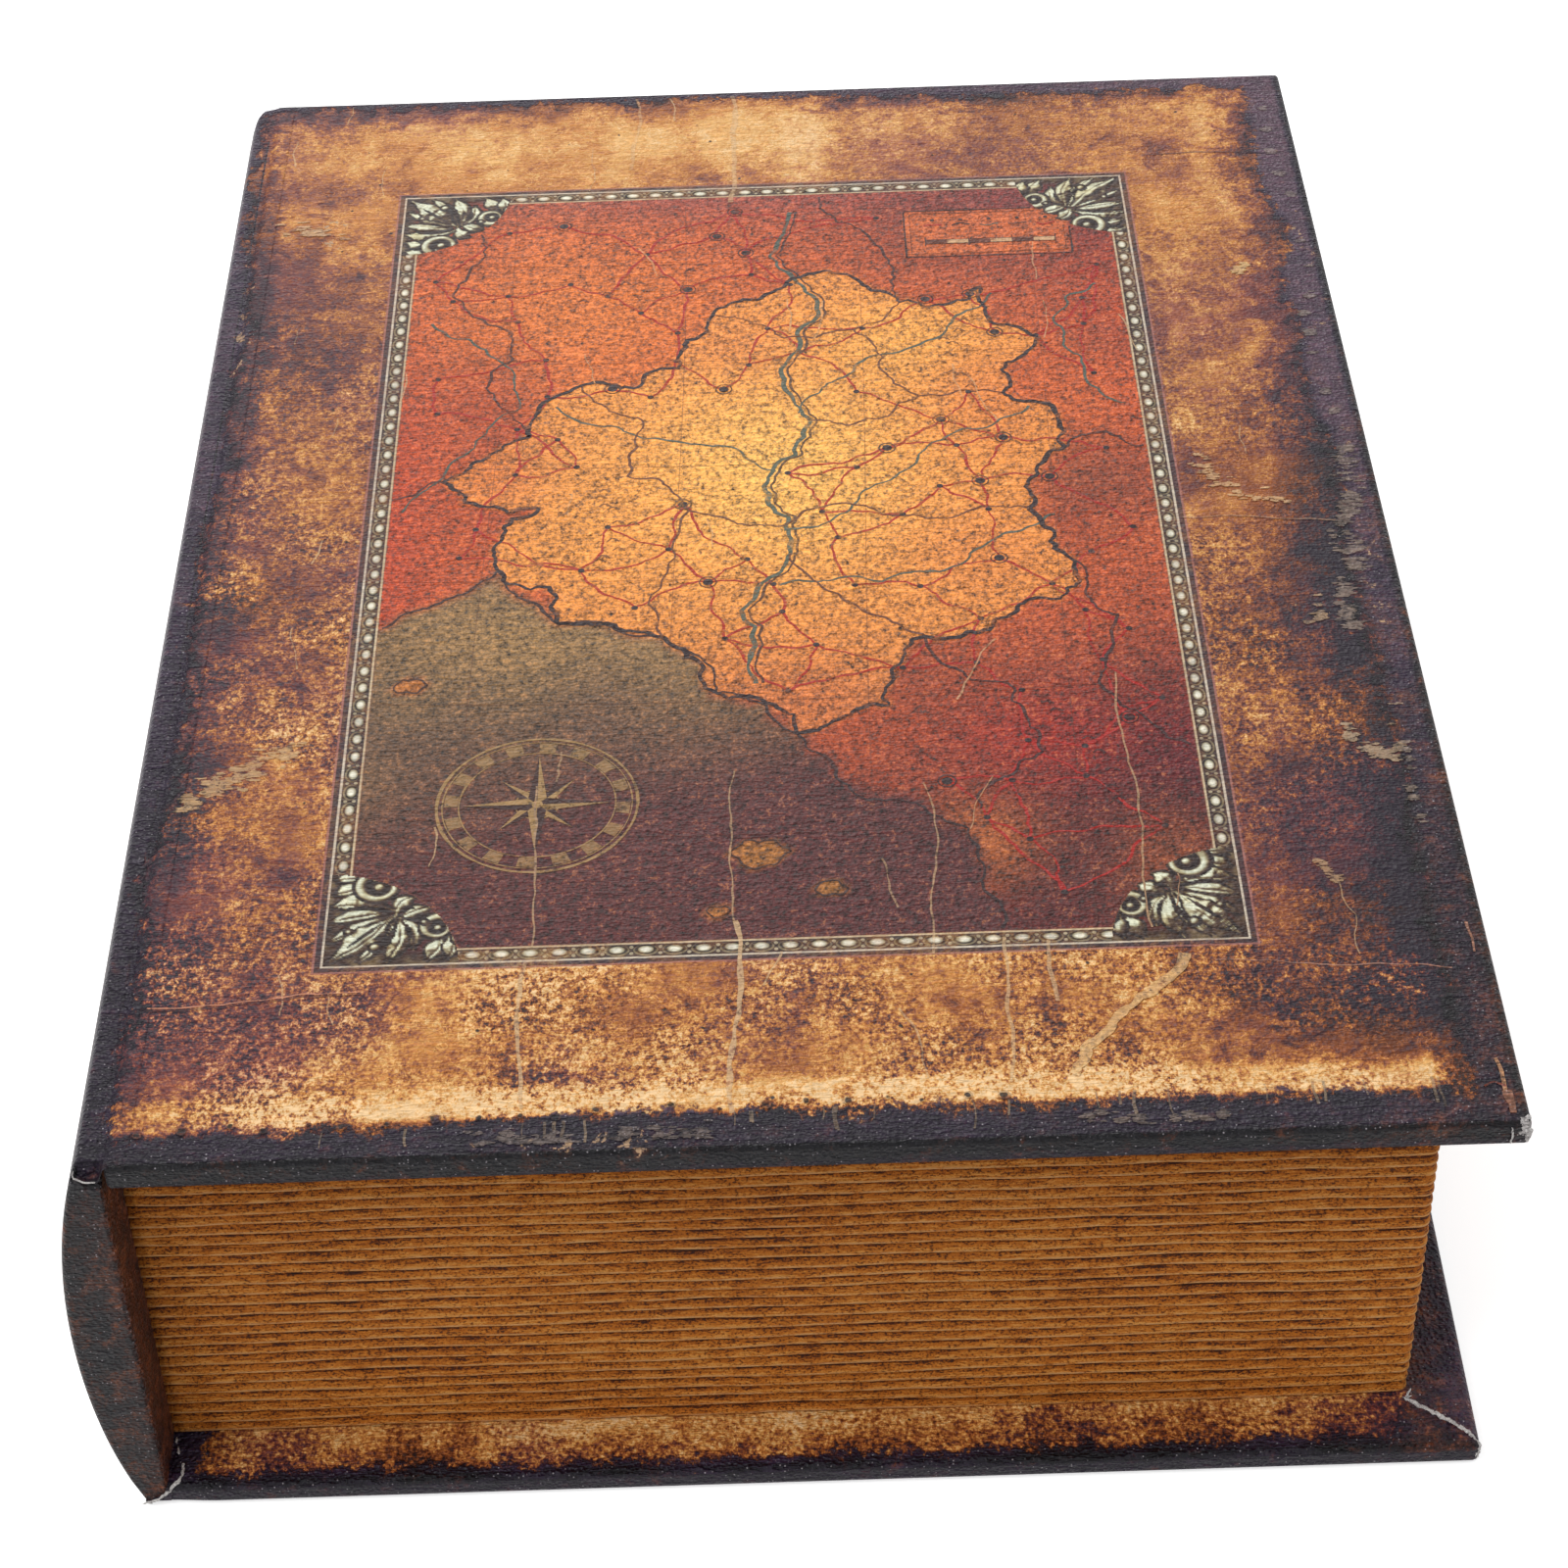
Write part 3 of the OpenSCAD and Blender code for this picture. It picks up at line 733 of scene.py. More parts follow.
def coverFields(points, underDark=True):
    x, y, z = points.T
    wander = softNoise(x, y, 20, 5, 4) * 2.6
    front = y + 130.9 - 1.8 * smooth(x, -90, -20)
    back = 132.4 - y - 2.2 * smooth(x, 0, 60)
    border = np.minimum.reduce([x + 88.0 + 2.8 * smooth(y, 40, 110), 90.6 - x, back, front])
    border = border + wander * np.where((y < -115) | (y > 115), 0.3, 0.8)
    if underDark:
        border = np.where(z < lidTop - 1.0, coverMarks["bareBorder"], border)
    patch = softNoise(x, y, 24, 9, 3) * 0.08 + softNoise(x, y, 9, 10, 3) * 0.09
    patch = patch + softNoise(x, y / 6, 2.2, 8, 2) * 0.06
    tone = spots(x, y, 0.5, coverMarks["tone"]) + patch
    # the pale strip: its lower line, then how much of it there is
    low = -129.6 + 1.3 * smooth(x, -84, -10) - 0.7 * smooth(x, 40, 80)
    low = low + softNoise(x, x * 0 + 5.0, 6, 12, 3) * 0.4
    full, gone = coverMarks["stripWide"]
    strip = smooth(y, low, low + 0.7) * (1 - smooth(y, low + full, low + gone))
    strip = strip * (0.4 + 0.6 * smooth(x, -88, -62))
    strip *= 1 - smooth(x, 84, 90)
    tone = tone - 0.20 * smooth(x, 74, 90) * (1 - smooth(y, 20, 60))
    tone = mixed(tone, coverMarks["stripTone"] + 0.30 * np.clip(1 - border / 7, 0, 1) + patch * 0.6, strip)
    hue = spots(x, y, 0.55, coverMarks["hue"]) + softNoise(x, y, 26, 11, 3) * 0.45 * (1 - strip)
    grit = (0.08 + 0.28 * smooth(-y, -110, 50)) * (1 + 0.9 * softNoise(x, y, 12, 14, 3)) * (1 + 0.3 * strip)
    grit *= 1 - smooth(np.abs(x), 62, 72) * smooth(y, -98, -84) * (0.18 + 0.18 * smooth(x, 0, 60))
    # painted sheen: the leather is made lighter toward the back and the right, standing in for the haze of
    # reflected light there
    leatherTone = 0.47 + 0.19 * smooth(y, -110, 60) + 0.14 * smooth(x, 0, 80) * smooth(y, -110, 0)
    leatherTone = leatherTone + softNoise(x, y, 12, 13, 2) * 0.05
    tone = tone + (leatherTone - tone) * smooth(-border, -1, 2)
    # painted shade: the leather is darkened over its rounded edge, most on the upper half of the front face and
    # on the left, standing in for the dark reflection there
    edge = np.maximum.reduce([-134.5 - y, y - 134.0, x - 96.6]) / 0.8
    tone = tone - smooth(edge, 0, 1) * (
        coverMarks["edgeShade"] + coverMarks["edgeShadeLeft"] * smooth(-x, -20, 50)
        + coverMarks["edgeShadeTop"] * smooth(z, lidTop - 3.4, lidTop - 0.9))
    tone = np.where(z < lidUnder + 0.3, coverMarks["underTone"], tone)
    peel = spots(x, y, 0.0, coverMarks["peel"]) * smooth(z, lidTop - 3.0, lidTop - 1.5)
    corner = np.hypot(np.hypot(x - xRight + 0.2, y + yEnd + 0.3), (z - lidTop + 1.2) * 0.6)
    worn = wornCorner(corner, *coverMarks["cornerWorn"]) + wornCorner(
        np.hypot(x - xRight, y - yEnd), *coverMarks["backCornerWorn"])
    rust = coverMarks["rust"] + coverMarks["rustRight"] * smooth(x, 72, 88) * smooth(-y, -90, 40)
    return dict(zip(printFields, (tone, border, hue, grit, rust, peel, worn)))


baseMarks = {"tone": [(-20, -129, 80, 8, 0.64, 0.9), (-70, -129, 12, 6, 0.60, 0.6),
                      (40, -129, 26, 6, 0.54, 0.7),
                      (80, -130, 14, 6, 0.50, 0.8), (93, 0, 8, 140, 0.50, 0.9), (0, 129, 110, 8, 0.54, 0.8)],
             "edgeBorder": -5.0, "edgeTone": 0.42, "grit": 0.30, "worn": (0.3, 2.0)}


def baseFields(points):
    x, y, z = points.T
    wander = softNoise(x, y, 16, 15, 3) * 1.0
    onEdge = (z > 0.8) & (z < baseTop - 0.7)
    border = np.minimum.reduce([x + 84.0, 93.0 - x - 6 * smooth(-y, 100, 130), 132.6 - y, y + 132.8]) + wander
    border = np.where(onEdge, baseMarks["edgeBorder"], border)
    border = np.where(z <= 0.8, np.minimum.reduce([x + 82, 90 - x, 126 - y, y + 126]) + wander * 2, border)
    tone = spots(x, y, 0.45, baseMarks["tone"]) + softNoise(x, y, 24, 19, 3) * 0.08
    tone = tone + (0.04 + 0.16 * softNoise(x, y * 0.4, 7, 18, 3)) * smooth(-y, 110, 126)
    hue = 1.0 + softNoise(x, y, 18, 17, 3) * 0.35 - 0.5 * smooth(x, 60, 92)
    rust = 0.10 + (0.36 * np.exp(-((x - 89.5) / 3.4) ** 2) + 0.20 * smooth(x, 84, 92)) * (z > baseTop - 1)
    tone = np.where(onEdge, baseMarks["edgeTone"], tone + 0.10 * smooth(x, 84, 92))
    tone = tone - 0.3 * smooth(-y, yEnd - 1.2, yEnd - 0.4) * smooth(z, baseTop - 1.2, baseTop - 0.3)
    worn = wornCorner(np.hypot(x - xRight, y - yEnd), *baseMarks["worn"])
    return dict(zip(printFields, (tone, border, hue, np.full(len(x), baseMarks["grit"]), rust, np.zeros(len(x)),
                                  worn)))


spineLook = {"endTone": 0.14, "backTone": 0.42, "endRust": 0.29, "backRust": 0.38, "innerRust": 0.84,
             "bareBorder": -6.0, "grit": 0.34, "worn": (0.30, 2.0)}


def spineFields(points):
    x, y, z = points.T
    atEnd = np.abs(y) > yEnd - 1.5
    wander = softNoise(y, z, 20, 25, 3) * 1.6
    border = np.minimum.reduce([yEnd - 8 - np.abs(y), z - 5, 63 - z]) + wander
    border = np.where((x > spineFaceX - 0.6) | atEnd, spineLook["bareBorder"], border)
    tone = np.where(atEnd, spineLook["endTone"], spineLook["backTone"]) + softNoise(y, z, 26, 27, 3) * 0.12
    hue = 0.45 + softNoise(y, z, 22, 28, 3) * 0.4
    inner = smooth(x, spineFaceX - 0.3, spineFaceX - 0.2) * smooth(z, 1.4, 1.6) * (1 - smooth(z, 64.6, 65.8))
    rust = np.where(atEnd, spineLook["endRust"], spineLook["backRust"])
    rust = rust + 0.22 * smooth(x, spineFaceX - 4.5, spineFaceX - 0.4) * (1 - smooth(z, 58, 65))
    rust = mixed(rust, spineLook["innerRust"], inner) - 0.2 * smooth(z, 64, 66.5)
    worn = wornCorner(z - 1, *spineLook["worn"]) * (np.abs(y) > yEnd - 2)
    return dict(zip(printFields, (tone, border, hue, np.full(len(x), spineLook["grit"]), rust, np.zeros(len(x)),
                                  worn)))


# The map on the upper cover: an invented country on an invented coast

def frameDistance(x, y):
    # how far inside the printed frame's outer rectangle a point lies
    return np.minimum(mapPlan["halfWide"] - np.abs(x - mapPlan["centreX"]),
                      mapPlan["halfLong"] - np.abs(y - mapPlan["centreY"]))


def mapInside(x, y):
    # above zero inside the map, with its corners cut by arcs round the ornaments
    corner = np.hypot(mapPlan["halfWide"] - np.abs(x - mapPlan["centreX"]),
                      mapPlan["halfLong"] - np.abs(y - mapPlan["centreY"]))
    return np.minimum(frameDistance(x, y) - mapPlan["frameWide"], corner - mapPlan["cornerReach"])


def sideOf(x, y, outline):
    # signed distance to a closed outline, above zero inside
    outline = np.asarray(outline, float)
    near, inside = np.full(np.shape(x), 1e9), np.zeros(np.shape(x), bool)
    for (ax, ay), (bx, by) in zip(outline, np.roll(outline, -1, 0)):
        dx, dy = bx - ax, by - ay
        t = np.clip(((x - ax) * dx + (y - ay) * dy) / (dx * dx + dy * dy + 1e-12), 0, 1)
        near = np.minimum(near, np.hypot(x - ax - t * dx, y - ay - t * dy))
        inside ^= ((ay > y) != (by > y)) & (x < ax + (y - ay) * dx / (dy if abs(dy) > 1e-12 else 1e-12))
    return np.where(inside, near, -near)


def wiggly(points, closed=False, seed=1, jog=0.14, rounds=4):
    # a coast, a road or a river: each span is broken at its middle, over and over
    rng = np.random.default_rng(seed)
    points = np.asarray(points, float)
    for _ in range(rounds):
        ends = np.roll(points, -1, 0) if closed else points[1:]
        starts = points if closed else points[:-1]
        across = np.stack([starts[:, 1] - ends[:, 1], ends[:, 0] - starts[:, 0]], 1)
        middle = (starts + ends) / 2 + across * rng.uniform(-jog, jog, (len(starts), 1))
        finer = np.empty((len(starts) * 2, 2))
        finer[0::2], finer[1::2] = starts, middle
        points = finer if closed else np.vstack([finer, points[-1:]])
    return points


country = wiggly([(-38, 26), (-30, 40), (-14, 44), (-8, 60), (10, 72), (24, 62), (38, 66), (47, 50), (40, 34),
                  (49, 18), (42, 2), (48, -12), (36, -26), (24, -30), (18, -46), (4, -52), (-8, -42),
                  (-16, -28), (-32, -24), (-42, -10), (-36, 6), (-52, 14)], True, 31, 0.24, 5)
coast = wiggly([(-80, -20), (-60, -24), (-48, -16), (-42, -10), (-32, -24), (-16, -28), (-8, -42), (4, -52),
                (12, -66), (28, -74), (32, -92), (26, -120), (-80, -120)], True, 32, 0.16, 5)
islandPlan = [(-2, -78, 4.5), (8, -86, 2.4), (-54, -38, 2.6), (-8, -90, 1.8)]
islands = [wiggly([(px + r * math.cos(a), py + r * 0.7 * math.sin(a)) for a in turns(6)], True, 50 + k, 0.2)
           for k, (px, py, r) in enumerate(islandPlan)]
mapWash = {
    "paper": (184, 80, 40), "glow": (246, 164, 74), "glowShare": 0.55,
    # place, reach, colour, strength: over the whole map, then over the country alone
    "all": [(-66, 10, 17, 48, (160, 28, 26), 0.95), (60, 92, 40, 26, (96, 36, 46), 0.98),
            (66, 30, 14, 44, (180, 70, 38), 0.9), (-10, 99, 66, 9, (138, 64, 62), 0.8),
            (-30, 60, 28, 24, (212, 116, 48), 0.85), (2, 16, 54, 44, (216, 110, 42), 0.75),
            (62, -66, 38, 46, (82, 20, 32), 0.98), (20, -90, 54, 28, (62, 24, 34), 0.96),
            (-64, 98, 12, 14, (112, 44, 46), 0.7), (44, -20, 18, 14, (190, 84, 42), 0.6),
            (40, -54, 14, 10, (160, 36, 28), 0.6)],
    "country": [(2, 14, 22, 26, (250, 186, 92), 0.9), (24, 50, 16, 14, (240, 168, 78), 0.7),
                (-26, 0, 14, 18, (236, 156, 70), 0.55), (38, 34, 10, 14, (206, 112, 52), 0.65),
                (34, -10, 12, 12, (212, 122, 58), 0.55), (-44, 16, 9, 12, (204, 104, 48), 0.6),
                (-6, 50, 12, 10, (208, 116, 54), 0.5), (6, -46, 22, 14, (176, 84, 52), 0.6)],
    "clouds": ((124, 22, 24), (70, 32, 38), (214, 120, 54), (146, 46, 30)), "cloudCount": 26,
    "sea": (146, 114, 70), "farSea": (98, 72, 54), "nearSea": (172, 132, 78), "deepSea": (82, 35, 40),
    "islandDark": 0.45, "panel": (206, 104, 52), "panelShare": 0.75, "panelBox": (26, 55, 76, 91),
}


def shadeOf(colour):
    return np.array(paint(*colour)[:3])


def mapTint(x, y):
    # reds at the sides, a warm glow over the country, olive dark water
    plan = mapWash
    colour = np.tile(shadeOf(plan["paper"]), (len(x), 1))

    def wash(colour, px, py, rx, ry, shade, strength, hold=1.0):
        return mixed(colour, shadeOf(shade), (strength * mound(x, y, px, py, rx, ry) * hold)[:, None])

    land = smooth(np.maximum.reduce([sideOf(x, y, country)] + [sideOf(x, y, i) for i in islands]), -0.7, 0.5)
    ragged = softNoise(x, y, 7, 62, 4) * 2.2 * smooth(-y, 24, 50)  # the wash runs over the coast's line
    water = smooth(sideOf(x, y, coast) + ragged, -1.6, 1.6) * (1 - land)
    for mark in plan["all"]:
        colour = wash(colour, *mark)
    for k in range(plan["cloudCount"]):  # darker and redder clouds, seeded
        rng = np.random.default_rng(900 + k)
        px, py, reach = rng.uniform(-62, 64), rng.uniform(-98, 98), rng.uniform(5, 13)
        shade = plan["clouds"][k % 4]
        colour = wash(colour, px, py, reach, reach * rng.uniform(0.7, 1.6), shade, rng.uniform(0.2, 0.5))
    colour = mixed(colour, mixed(colour, shadeOf(plan["glow"]), plan["glowShare"]), land[:, None])
    for mark in plan["country"]:
        colour = wash(colour, *mark, land)
    fade = np.clip(0.5 + 0.5 * softNoise(x, y, 40, 61, 3), 0, 1)[:, None]
    sea = mixed(shadeOf(plan["sea"]), shadeOf(plan["farSea"]), fade)
    sea = wash(sea, -40, -26, 28, 16, plan["nearSea"], 0.6)
    sea = mixed(sea, shadeOf(plan["deepSea"]), (smooth(-y + 0.3 * x, 26, 66) * 0.94)[:, None])
    colour = mixed(colour, sea, water[:, None])
    for island in islands:
        colour = colour * (1 - plan["islandDark"] * smooth(sideOf(x, y, island), -0.2, 0.2)[:, None])
    left, right, front, back = plan["panelBox"]
    panel = smooth(np.minimum.reduce([x - left, right - x, y - front, back - y]), -0.2, 0.3)[:, None]
    return mixed(colour, shadeOf(plan["panel"]), plan["panelShare"] * panel)


def topFields(points):
    # every painted field that the map leather reads, for points on the upper cover
    fields = coverFields(points)
    onTop = points[:, 2] > lidTop - 1.0
    inside = mapInside(points[:, 0], points[:, 1])
    fields["mapInside"] = np.where(onTop, inside, -9.0)
    fields["frameMask"] = onTop.astype(float)
    tint = np.zeros((len(points), 3))
    near = onTop & (inside > -3)
    tint[near] = mapTint(points[near, 0], points[near, 1])
    return fields, tint


# Upper cover

coverCut = {"edgeRound": 0.8, "pitch": 1.1, "jointEndX": -88.5, "frontSwell": 0.42, "lip": 0.4,
            "sideSwell": 0.28, "backSwellMore": 0.8, "jointSink": 0.25}


def makeCoverCloth():
    points, faces = softSlab((coverCut["jointEndX"], -yEnd, lidUnder), (xRight, yEnd, lidTop),
                             coverCut["edgeRound"], coverCut["pitch"])
    x, y, z = points.T
    overhang = smooth(np.maximum(np.abs(y) - 126, x - 89.6), 0, 1.5)
    # the turned-in cloth hangs a little
    z = z - coverCut["lip"] * overhang * smooth(-z, -lidTop + 1.2, -lidUnder)
    # it sinks beneath the joint's cloth
    z = z - coverCut["jointSink"] * smooth(-x, 86.6, 88.4) * smooth(z, lidUnder + 1, lidTop - 1)
    side = coverCut["sideSwell"] * (1 + coverCut["backSwellMore"] * smooth(y, -135, 135)) * smooth(x, 84, 96)
    points = np.stack([x + side, y - coverCut["frontSwell"] * smooth(-y, 122, 134), z], 1)
    fields, tint = topFields(points)
    makePiece("coverCloth", points, faces, mapLeather, "lid", ("lid_skin",), fields=fields,
              colours={"mapTint": tint})


makeCoverCloth()
print("upper cover made")


# Ink on the map, laid just over the cover: borders, rivers, roads, towns, hills, a compass and a scale

inkPlan = {"rise": 0.02, "layersHigh": 0.10, "spacing": 0.8, "uneven": 0.35, "dark": (48, 34, 36),
           "road": (168, 36, 30), "river": (66, 88, 80), "faint": (96, 56, 44), "cream": (206, 170, 128)}


class InkSheet:
    # strokes and filled shapes gathered into one mesh
    def __init__(self):
        self.points, self.faces, self.colours, self.holds, self.layers = [], [], [], [], []

    def add(self, points, faces, shade, hold):
        start = len(self.points)
        self.points += [tuple(p) for p in points]
        self.faces += [[i + start for i in f] for f in faces]
        self.colours += [paint(*shade)[:3]] * len(points)
        self.holds += [hold] * len(points)
        self.layers += [self.layers[-1] + 1 if self.layers else 0] * len(points)

    def line(self, points, width, shade, hold=1.0, inMapOnly=True):
        points = np.asarray(points, float)
        far = lengthsAlong(points)
        count = max(2, int(far[-1] / inkPlan["spacing"]) + 1)
        path = evenly(points, far, count)
        slope = unit(np.gradient(path, axis=0))
        across = np.stack([-slope[:, 1], slope[:, 0]], 1)
        half = width / 2 * (1 + inkPlan["uneven"] * softNoise(path[:, 0], path[:, 1], 3.0, 71, 2))[:, None]
        sides = np.stack([path + across * half, path - across * half], 1).reshape(-1, 2)
        keep = mapInside(path[:, 0], path[:, 1]) > 0.25 if inMapOnly else (
            np.abs(path[:, 1]) < yEnd - 1.4) & (path[:, 0] > -86.8) & (path[:, 0] < xRight - 1.4)
        faces = [[2 * k, 2 * k + 1, 2 * k + 3, 2 * k + 2] for k in range(count - 1) if keep[k] and keep[k + 1]]
        if faces:
            used = sorted({i for f in faces for i in f})
            renumber = {old: new for new, old in enumerate(used)}
            self.add(sides[used], [[renumber[i] for i in f] for f in faces], shade, hold)

    def shape(self, outline, shade, hold=1.0):
        self.add(outline, [list(range(len(outline)))], shade, hold)

    def dot(self, x, y, radius, shade, hold=1.0, sides=8, uneven=0.0, seed=0, flat=1.0):
        rng = np.random.default_rng(seed)
        turn = turns(sides)
        reach = radius * (1 + uneven * rng.uniform(-1, 1, sides))
        self.shape(np.stack([x + reach * np.cos(turn), y + flat * reach * np.sin(turn)], 1), shade, hold)

    def ring(self, x, y, radius, width, shade, hold=1.0):
        turn = np.linspace(0, 2 * math.pi, 49)
        self.line(np.stack([x + radius * np.cos(turn), y + radius * np.sin(turn)], 1), width, shade, hold)


def closed(points):
    return np.vstack([points, points[:1]])


def boxCorners(x0, x1, y0, y1):
    return np.array([(x0, y0), (x1, y0), (x1, y1), (x0, y1)])


def placeTowns(rng, count, apart):
    towns = []
    for _ in range(4000):  # tries, of which few are needed
        x, y = rng.uniform(-58, 60), rng.uniform(-94, 94)
        if mapInside(np.array(x), np.array(y)) < 3 or sideOf(np.array([x]), np.array([y]), coast)[0] > -2:
            continue
        if 24 < x < 57 and 74 < y < 93:
            continue
        if all(math.hypot(x - a, y - b) > apart for a, b in towns):
            towns.append((x, y))
        if len(towns) == count:
            break
    return towns


mapLines = {
    "meridians": (-44, -14, 16, 46), "parallels": (76, 46, 16, -14, -44, -74), "towns": 96, "townsApart": 6.6,
    "streams": [[(6, 92), (2, 78), (10, 62), (4, 44), (8, 28), (0, 10), (4, -8), (-4, -22), (-2, -40)],
                [(40, 64), (28, 50), (14, 40), (6, 30)], [(44, 30), (30, 22), (16, 8), (3, -2)],
                [(-34, 34), (-22, 26), (-10, 22), (2, 14)], [(46, 0), (34, -8), (18, -16), (2, -16)],
                [(-56, 60), (-44, 48), (-40, 34), (-50, 20), (-58, 6)],
                [(58, 66), (50, 56), (54, 40), (60, 30)]],
    "provinces": [[(-30, 40), (-20, 30), (-22, 14), (-12, 4), (-16, -28)],
                  [(-8, 60), (4, 52), (16, 54), (24, 62)],
                  [(40, 34), (26, 34), (14, 26), (8, 28)], [(-12, 4), (4, 0), (16, 4), (30, 0), (42, 2)],
                  [(4, -8), (14, -22), (24, -30)], [(16, 54), (20, 42), (26, 34)]],
    "neighbours": [[(-38, 26), (-46, 40), (-44, 58), (-52, 72), (-50, 96)],
                   [(24, 62), (22, 78), (14, 88), (12, 98)], [(49, 18), (56, 22), (64, 18)],
                   [(48, -12), (54, -26), (50, -44), (62, -58)], [(24, -30), (36, -42), (40, -58), (30, -70)],
                   [(-52, 14), (-58, 10), (-66, 12)]],
    "ridges": [[(-30, 66), (-12, 74), (2, 84)], [(34, 56), (30, 44), (38, 30)],
               [(40, -46), (50, -60), (48, -74)], [(-26, 10), (-22, 0), (-26, -12)]],
    "compass": (-34, -66), "compassPale": (168, 134, 86), "compassDeep": (52, 32, 30),
    "compassRings": ((14.6, 0.42), (13.8, 0.18), (11.4, 0.22), (3.2, 0.2)),
    "compassPoints": ((7.6, 1.7, math.pi / 4), (10.8, 1.9, 0.0)),  # reach, waist, turn: short ones first
    "scaleFoot": (29.5, 80.2), "scaleStep": 3.8, "scaleHigh": 1.1,
}


def drawMap(sheet):
    rng = np.random.default_rng(77)
    dark, road, river, faint = inkPlan["dark"], inkPlan["road"], inkPlan["river"], inkPlan["faint"]
    for x in mapLines["meridians"]:
        sheet.line([(x + 1.5 * math.sin(t * 2), t * 95) for t in np.linspace(-1, 1, 24)], 0.13, faint, 0.55)
    for y in mapLines["parallels"]:
        sheet.line([(t * 60, y + 2.0 * t * t) for t in np.linspace(-1, 1, 24)], 0.13, faint, 0.55)
    towns = placeTowns(rng, mapLines["towns"], mapLines["townsApart"])
    links = set()
    for a, town in enumerate(towns):
        near = sorted(range(len(towns)), key=lambda b: math.dist(town, towns[b]))[1:4]
        for b in near[:2] + ([near[2]] if a % 2 == 0 else []):
            links.add((min(a, b), max(a, b)))
    for number, (a, b) in enumerate(sorted(links)):
        sheet.line(wiggly([towns[a], towns[b]], False, 200 + number, 0.13, 4), 0.40, road, 0.95)
    for number, stream in enumerate(mapLines["streams"]):
        path = wiggly(stream, False, 300 + number, 0.16, 4)
        sheet.line(path, 0.75 if number == 0 else 0.42, river, 0.95)
        if number == 0:  # the great river has a dark bank
            sheet.line(path + np.array([1.1, 0.1]), 0.40, dark, 0.9)
    for number, path in enumerate(mapLines["provinces"]):
        sheet.line(wiggly(path, False, 400 + number, 0.18, 4), 0.38, faint, 0.95)
    for number, path in enumerate(mapLines["neighbours"]):
        sheet.line(wiggly(path, False, 450 + number, 0.2, 5), 0.46, dark, 0.9)
    for path in mapLines["ridges"]:
        for t in np.linspace(0, 1, 11):  # hills along the ridge
            spot = np.array([np.interp(t, [0, .5, 1], [p[j] for p in path]) for j in (0, 1)])
            spot += rng.uniform(-1.4, 1.4, 2)
            tall = rng.uniform(0.7, 1.2)
            sheet.line([spot + (-0.9, 0), spot + (0, tall), spot + (1.0, -0.1)], 0.3, dark, 0.8)
            sheet.line([spot + (0.15, tall * 0.8), spot + (0.5, -0.1)], 0.22, dark, 0.7)
    sheet.line(closed(coast), 0.46, dark, 0.95)
    sheet.line(closed(country), 0.72, dark, 1.0)
    for island in islands:
        sheet.line(closed(island), 0.34, dark, 0.9)
    for k, (x, y) in enumerate(towns):
        sheet.dot(x, y, 0.85 if k % 5 == 0 else 0.55, dark, 1.0)
        if k % 5 == 0:
            sheet.ring(x, y, 1.35, 0.24, dark, 0.9)
    # compass, in the water
    middle, pale, deep = mapLines["compass"], mapLines["compassPale"], mapLines["compassDeep"]

    def around(radius, angle):
        return middle[0] + radius * math.cos(angle), middle[1] + radius * math.sin(angle)

    for radius, width in mapLines["compassRings"]:
        sheet.ring(*middle, radius, width, pale, 0.8)
    for k in range(1, 32, 2):
        a, b = 2 * math.pi * k / 32, 2 * math.pi * (k + 1) / 32
        sheet.shape([around(11.6, a), around(13.6, a), around(13.6, b), around(11.6, b)], pale, 0.6)
    for reach, waist, offset in mapLines["compassPoints"]:
        for k in range(4):
            a = offset + k * math.pi / 2
            tip = around(reach, a)
            sheet.shape([middle, around(waist, a - math.pi / 4), tip], pale, 0.85)
            sheet.shape([middle, tip, around(waist, a + math.pi / 4)], deep, 0.85)
    sheet.dot(*middle, 0.8, pale, 0.95, 16)
    # scale bar in its panel
    (footX, footY), width, high = mapLines["scaleFoot"], mapLines["scaleStep"], mapLines["scaleHigh"]
    for k in range(6):
        sheet.shape(boxCorners(footX + k * width, footX + (k + 1) * width, footY, footY + high),
                    dark if k % 2 == 0 else inkPlan["cream"], 0.85)
    for y in (footY - 0.1, footY + high + 0.1):
        sheet.line([(footX - 0.1, y), (footX + 6 * width + 0.1, y)], 0.16, dark)
    for k in range(4):
        x = footX + 2 * k * width
        sheet.line([(x, 79.4), (x, 82.3)], 0.16, dark)
    left, right, front, back = mapWash["panelBox"]
    sheet.line(closed(boxCorners(left, right, front, back)), 0.3, dark)
    sheet.line(closed(boxCorners(left + 1, right - 1, front + 1, back - 1)), 0.13, dark, 0.8)
    for k, shade in enumerate((road, dark, river, faint, road)):
        x = 31 + 5 * k
        sheet.line(wiggly([(x - 1.6, 86), (x + 1.6, 86.2)], False, 500 + k, 0.2, 3), 0.3, shade)
        sheet.dot(x, 87.8, 0.4, dark, 1.0)


